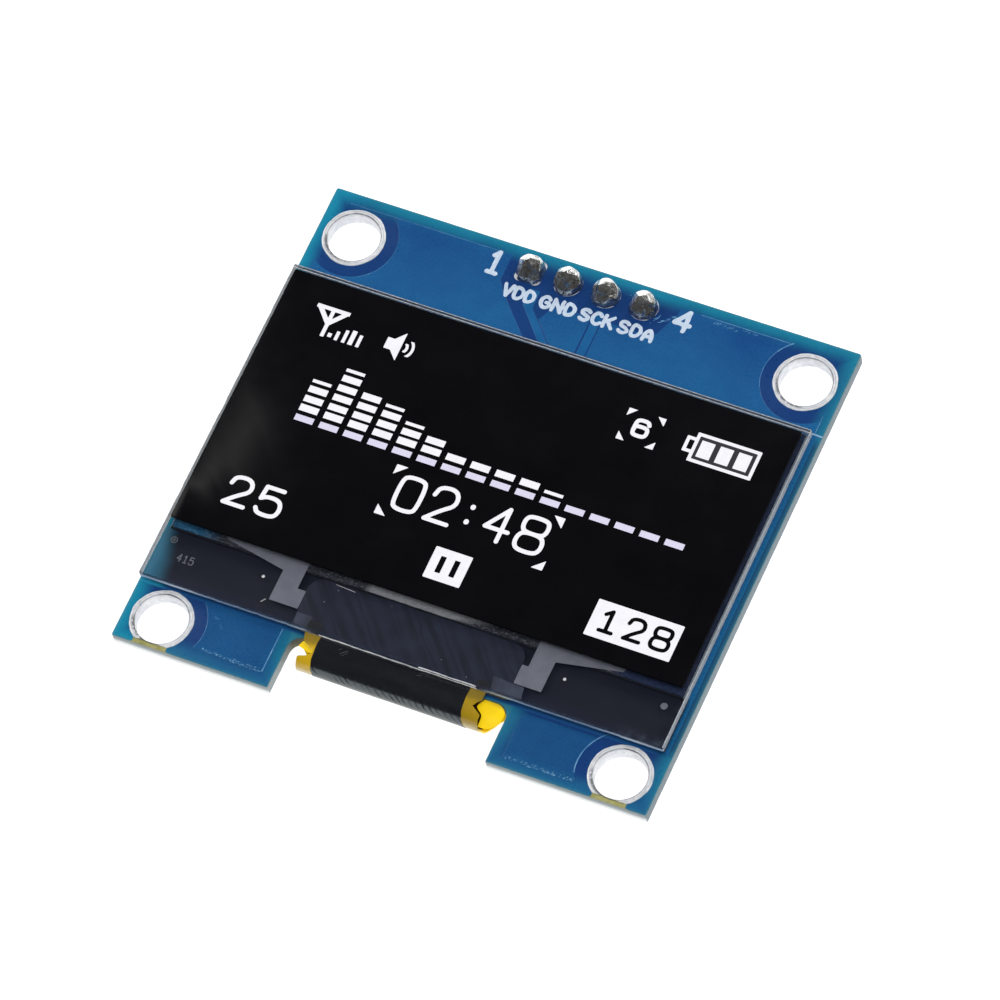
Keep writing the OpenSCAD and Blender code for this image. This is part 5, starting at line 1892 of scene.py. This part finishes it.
# scratches scuffed into the coating
def scuff(X, Y):
    d = d_seg(X, Y, (-3.75, -12.95), (-3.35, -12.62), 0.012)
    d = union(d, d_seg(X, Y, (-3.6, -13.05), (-3.3, -12.75), 0.008), d_seg(X, Y, (-3.95, -12.75), (-3.75, -12.6), 0.008))
    return union(d, d_seg(X, Y, (1.2, -12.7), (1.5, -12.62), 0.008))


def scuff_ink():
    N = Nodes("cable_scuffs", Roughness=0.5)
    n = N.noise(12.0, 3)
    N.set("Base Color", N.mix(N.rng(n, 0.3, 0.7), srgb(60, 62, 70), srgb(120, 122, 130)))
    N.bump(n, 0.2, 0.01)
    return N.mat


M_SCUFF = scuff_ink()
Mesh().plate(contours(scuff, -4.4, 2, -13.3, -12.4, 0.012, 0.001), [(0.0, 1.695), (0.0, 1.7065), (0.002, 1.708)]).make(
    "cable_scuff_marks", M_SCUFF, "flex_black")


# ------------------------------------------------------- parts at the back
def chip_part(name, slot, centre, turned, body_h, body_mats, cap=0.28):
    """Two-ended ceramic chip: body, glaze on resistors, rounded tinned ends."""
    x, y = centre
    L, W = 1.6, 0.8
    z1, z0 = -0.1, -0.1 - body_h
    M = Mesh()

    def put(a0, a1, b0, b1, c0, c1, b, mat, seg=3):
        if turned:
            M.box(x + b0, x + b1, y + a0, y + a1, c0, c1, b, mat, seg)
        else:
            M.box(x + a0, x + a1, y + b0, y + b1, c0, c1, b, mat, seg)
    e = 0.02
    put(-L / 2 + cap, L / 2 - cap, -W / 2 + e, W / 2 - e, z0 + e, z1 - e, 0.01, 0)
    if slot == "resistor_block":
        put(-L / 2 + cap + 0.02, L / 2 - cap - 0.02, -W / 2 + 0.06, W / 2 - 0.06, z0 + 0.004, z0 + 0.03, 0.01, 2)
    put(-L / 2, -L / 2 + cap + 0.02, -W / 2, W / 2, z0, z1, 0.05, 1)
    put(L / 2 - cap - 0.02, L / 2, -W / 2, W / 2, z0, z1, 0.05, 1)
    return M.make(name + "_chip", body_mats, slot, replaces=[name], angle=40)


CHIPS = {
    "resistor_current": (-8.6, 7.4, 90), "resistor_clock": (-4.2, 10.4, 0), "resistor_data": (-4.2, 8.8, 0),
    "resistor_reset": (-1.0, 8.0, 90), "resistor_address": (-8.6, 10.6, 0), "capacitor_input": (8.8, 11.6, 0),
    "capacitor_output": (12.3, 6.2, 90), "capacitor_reset": (1.2, 8.0, 90), "capacitor_pump_a": (-5.4, -3.6, 90),
    "capacitor_pump_b": (-3.2, -3.6, 90), "capacitor_common": (3.6, -3.6, 90), "capacitor_panel": (6.2, -3.6, 90),
}
for name, (cx, cy, turn) in CHIPS.items():
    x0, y0, z0, x1, y1, z1 = nbox(name)
    kind = name.split("_")[0]
    h = z1 - z0
    chip_part(name, kind + "_block", (cx, cy), turn == 90, h if z1 < 0.01 else 0.45,
              [M_ALUMINA if kind == "resistor" else M_CERAM, M_LEAD, M_GLAZE])

# moulded regulator and diode with drafted sides
for name, slot in (("regulator_body", "part_black"), ("diode_body", "part_black")):
    x0, y0, z0, x1, y1, z1 = nbox(name)
    M = Mesh()
    zm = z0 + 0.45 * (z1 - z0)
    loops = [np.array([(x0, y0), (x1, y0), (x1, y1), (x0, y1)])]
    M.plate(loops, [(0.14, z0), (0.07, z0 + 0.03), (0.0, zm), (0.0, zm + 0.05), (0.06, z1 - 0.02), (0.08, z1)])
    M.lathe(x0 + 0.35, y1 - 0.35, [(0.0, z0 - 0.0002), (0.1, z0 - 0.0002), (0.12, z0 + 0.03), (0.0, z0 + 0.03)], 20)
    M.make(name.split("_")[0] + "_case", M_EPOXY, slot, replaces=[name], angle=25)

sx0, sy0, sz0, sx1, sy1, sz1 = nbox("header_strip")


def strip_shape(X, Y):
    d = None
    for px in PIN_X:
        c = 0.45
        s = d_poly(X, Y, [(px - 1.27, sy0 + c), (px - 1.27 + c, sy0), (px + 1.27 - c, sy0), (px + 1.27, sy0 + c),
                          (px + 1.27, sy1 - c), (px + 1.27 - c, sy1), (px - 1.27 + c, sy1), (px - 1.27, sy1 - c)])
        d = s if d is None else np.minimum(d, s)
    for px in PIN_X:
        d = cut(d, d_box(X, Y, px - 0.325, px + 0.325, PIN_Y - 0.325, PIN_Y + 0.325))
    return d


strip = Mesh().plate(contours(strip_shape, sx0 - 0.3, sx1 + 0.3, sy0 - 0.3, sy1 + 0.3, 0.03, 0.002),
                     [(0.06, sz0), (0.0, sz0 + 0.06), (0.0, sz1 - 0.05), (0.05, sz1 - 0.002)])
strip.make("header_block", M_STRIP, "header_plastic", replaces=["header_strip"], angle=40)

for i, px in enumerate(PIN_X):
    x0, y0, z0, x1, y1, z1 = nbox("header_pin_%d" % (i + 1))
    M = Mesh()
    loops = [np.array([(px - 0.32, PIN_Y - 0.32), (px + 0.32, PIN_Y - 0.32), (px + 0.32, PIN_Y + 0.32), (px - 0.32, PIN_Y + 0.32)])]
    M.plate(loops, [(0.2, z0), (0.06, z0 + 0.3), (0.0, z0 + 0.55), (0.0, z1 - 0.3), (0.12, z1)])
    M.make("pin_post_%d" % (i + 1), M_PIN, "pin_metal", replaces=["header_pin_%d" % (i + 1)], angle=20)


# -------------------------------------------------- print on the back face
def rear_mask(X, Y):
    d = d_board(X, Y) + 0.035
    d = openings(X, Y, d)
    for s in (-1, 1):
        d = cut(d, d_box(X, Y, s * 15.2 - 1.12, s * 15.2 + 1.12, BY0 - 1, BY0 + 0.9, 0.3))
    return d


Mesh().plate(contours(rear_mask, *AREA, 0.08), [(0.012, 0.008), (0.0, 0.02), (0.0, 0.045)]).make(
    "mask_rear", M_MASK, "board_blue")


def rear_pour(X, Y):
    d = d_box(X, Y, -16.9, 16.9, -11.0, 16.4, 0.3)
    d = annuli(X, Y, d)
    d = cut(d, d_box(X, Y, -5.3, 5.3, 14.1, 17.5, 0.1), d_box(X, Y, -9.6, 9.4, -9.0, -1.8, 0.4))
    for x0, x1, y0, y1 in ((-9.9, -7.3, 5.9, 11.4), (-5.6, -2.8, 8.0, 11.2), (-1.8, 2.0, 6.6, 9.4), (2.9, 5.4, 6.8, 9.6),
                           (6.8, 10.4, 5.9, 8.6), (7.4, 10.2, 10.9, 12.3), (11.5, 13.1, 4.9, 7.5)):
        d = cut(d, d_box(X, Y, x0, x1, y0, y1, 0.15))
    return d


def rear_lines(X, Y):
    d = None
    for pts in (((-3.81, 14.4), (-3.81, 12.6), (-4.9, 11.4), (-4.9, 10.9)), ((1.27, 14.4), (1.27, 12.9), (-3.0, 10.9)),
                ((3.81, 14.4), (3.81, 11.8), (2.2, 10.0), (-3.2, 9.6)), ((7.6, 8.2), (7.6, 10.4), (8.0, 11.0)),
                ((9.6, 6.3), (11.6, 6.3)), ((-5.4, -4.6), (-5.4, -6.9)), ((-3.2, -4.6), (-3.2, -6.9)),
                ((3.6, -4.6), (3.6, -6.9)), ((6.2, -4.6), (6.2, -6.9)), ((-8.6, 6.4), (-8.6, 2.0), (-6.8, -1.0), (-6.8, -6.9)),
                ((-1.0, 6.9), (-1.0, -6.9)), ((1.2, 6.9), (1.2, -6.9))):
        s = d_line(X, Y, list(pts), 0.13)
        d = s if d is None else np.minimum(d, s)
    return d


def rear_copper(X, Y):
    return np.maximum(np.minimum(rear_pour(X, Y), rear_lines(X, Y)), d_board(X, Y) + 0.25)


Mesh().plate(contours(rear_copper, *AREA, 0.07), [(0.05, -0.012), (0.02, -0.008), (0.0, 0.0), (0.0, 0.02)]).make(
    "copper_fields_rear", M_POUR, "board_blue")

# tinned lands under the rear parts
lands = Mesh()
for name, (cx, cy, turn) in CHIPS.items():
    for s in (-1, 1):
        dx, dy = (0, s * 0.68) if turn == 90 else (s * 0.68, 0)
        hx, hy = (0.42, 0.26) if turn == 90 else (0.26, 0.42)
        loops = [np.array([(cx + dx - hx, cy + dy - hy), (cx + dx + hx, cy + dy - hy), (cx + dx + hx, cy + dy + hy),
                           (cx + dx - hx, cy + dy + hy)])]
        lands.plate(loops, [(0.03, -0.1), (0.0, -0.02), (0.0, 0.02)])
lands.make("rear_lands", M_LEAD, "tinned_copper")


def rear_ink(X, Y):
    d = None
    for name, (cx, cy, turn) in CHIPS.items():
        hx, hy = (0.62, 1.05) if turn == 90 else (1.05, 0.62)
        s = np.abs(d_box(X, Y, cx - hx, cx + hx, cy - hy, cy + hy, 0.05)) - 0.045
        gap = (np.abs(X - cx) - 0.5) if turn == 90 else (np.abs(Y - cy) - 0.5)
        s = np.maximum(s, -(0.22 - np.abs((Y - cy) if turn == 90 else (X - cx))))
        d = s if d is None else np.minimum(d, s)
    for i, px in enumerate(PIN_X):
        n = str(i + 1)
        d = np.minimum(d, glyphs(-X, Y, n, -px - 0.28, 12.2, 0.56, 0.85, 0, 0.1))
    return d


Mesh().plate(contours(rear_ink, -14, 14, -6, 14, 0.035, 0.003), [(0.01, -0.022), (0.0, -0.014), (0.0, -0.005)]).make(
    "legend_rear", M_INK, "board_blue")


# ------------------------------------------- materials of kept CAD pieces
# thin adhesive film at the cable's root, under the resin
bx0, by0, bz0, bx1, by1, bz1 = nbox("flex_bond_film")
Mesh().box(bx0, bx1, by0, by1, bz0, bz0 + 0.009, 0.003).make("cable_bond_film", M_BOND, "bond_film",
                                                            replaces=["flex_bond_film"])
# the driver chip, thinned so that it stays under the resin
dx0, dy0, dz0, dx1, dy1, dz1 = nbox("driver_chip")
Mesh().box(dx0, dx1, dy0, dy1, dz0, 1.686, 0.012).make("driver_die", M_SIL, "silicon", replaces=["driver_chip"])
KEPT = {
    "panel_tape": (M_TAPE, "white_tape"), "desiccant_sheet": (M_DESIC, "desiccant"),
    "emitter_layer": (M_EMIT, "emitter"),
    "flex_joints": (M_SOLDER, "solder"), "chip_joints": (M_SOLDER, "solder"), "regulator_leads": (M_LEAD, "lead_tin"),
    "diode_leads": (M_LEAD, "lead_tin"),
}
for name, (m, s) in KEPT.items():
    ob = nodes[name]
    ob.data.materials.clear()
    ob.data.materials.append(m)


# ------------------------------------------------------ camera and stage
cam = bpy.data.cameras.new("camera")
cam.lens = 285.347
cam.sensor_width = 36.0
cam.clip_start = 0.01
cam.clip_end = 10.0
cam.dof.use_dof = False
camera = bpy.data.objects.new("camera", cam)
camera.location = (141.591 * MM, -193.003 * MM, 417.781 * MM)
camera.rotation_mode = "QUATERNION"
camera.rotation_quaternion = (0.9485363318256842, 0.23329783112154426, 0.10902335432294932, 0.18429557079005332)
bpy.context.scene.collection.objects.link(camera)
bpy.context.scene.camera = camera

FLOOR_Z = CAD_BOX[0][2] - 0.00002


def floor_material():
    N = Nodes("floor_white", Roughness=0.9)
    n = N.noise(0.02, 2)
    N.set("Base Color", N.mix(n, (0.3, 0.3, 0.3), (0.31, 0.31, 0.31)))
    N.b.inputs["Emission Color"].default_value = (1, 1, 1, 1)
    N.b.inputs["Emission Strength"].default_value = 0.95
    return N.mat


fm = Mesh()
fm.add([(-900, -900, 0), (900, -900, 0), (900, 900, 0), (-900, 900, 0)], [(0, 1, 2, 3)])
me = bpy.data.meshes.new("floor")
me.from_pydata([(x * MM, y * MM, FLOOR_Z) for x, y, z in fm.v], [], fm.f)
me.materials.append(floor_material())
floor = bpy.data.objects.new("floor", me)
bpy.context.scene.collection.objects.link(floor)


def lamp(name, az, el, dist, size, power, glossy=True, target=(0, 0, 0.001), size_y=None):
    data = bpy.data.lights.new(name, "AREA")
    data.shape = "RECTANGLE"
    data.size = size
    data.size_y = size_y or size
    data.energy = power
    ob = bpy.data.objects.new(name, data)
    a, e = math.radians(az), math.radians(el)
    d = Vector((math.cos(e) * math.cos(a), math.cos(e) * math.sin(a), math.sin(e)))
    ob.location = Vector(target) + d * dist
    ob.rotation_mode = "QUATERNION"
    ob.rotation_quaternion = d.to_track_quat("Z", "Y")
    ob.visible_glossy = glossy
    bpy.context.scene.collection.objects.link(ob)
    return ob


lamp("key_soft", -53.6, 72, 0.5, 0.34, 1.62, glossy=False)
lamp("side_soft", 175, 36, 0.45, 0.26, 0.6)
lamp("back_soft", 75, 32, 0.45, 0.24, 0.55)
lamp("low_right", -10, 35, 0.5, 0.3, 0.36, glossy=False)
lamp("back_low", 130, 9, 0.5, 0.3, 0.22, size_y=0.14)
lamp("right_rim", 38, 30, 0.5, 0.2, 0.16)

world = bpy.data.worlds.new("world")
world.use_nodes = True
bg = next(n for n in world.node_tree.nodes if n.type == "BACKGROUND")
bg.inputs["Color"].default_value = (1, 1, 1, 1)
bg.inputs["Strength"].default_value = 0.08
bpy.context.scene.world = world

sc = bpy.context.scene
sc.view_settings.view_transform = "Standard"
sc.view_settings.look = "None"
sc.view_settings.exposure = 0.0
sc.view_settings.gamma = 1.0
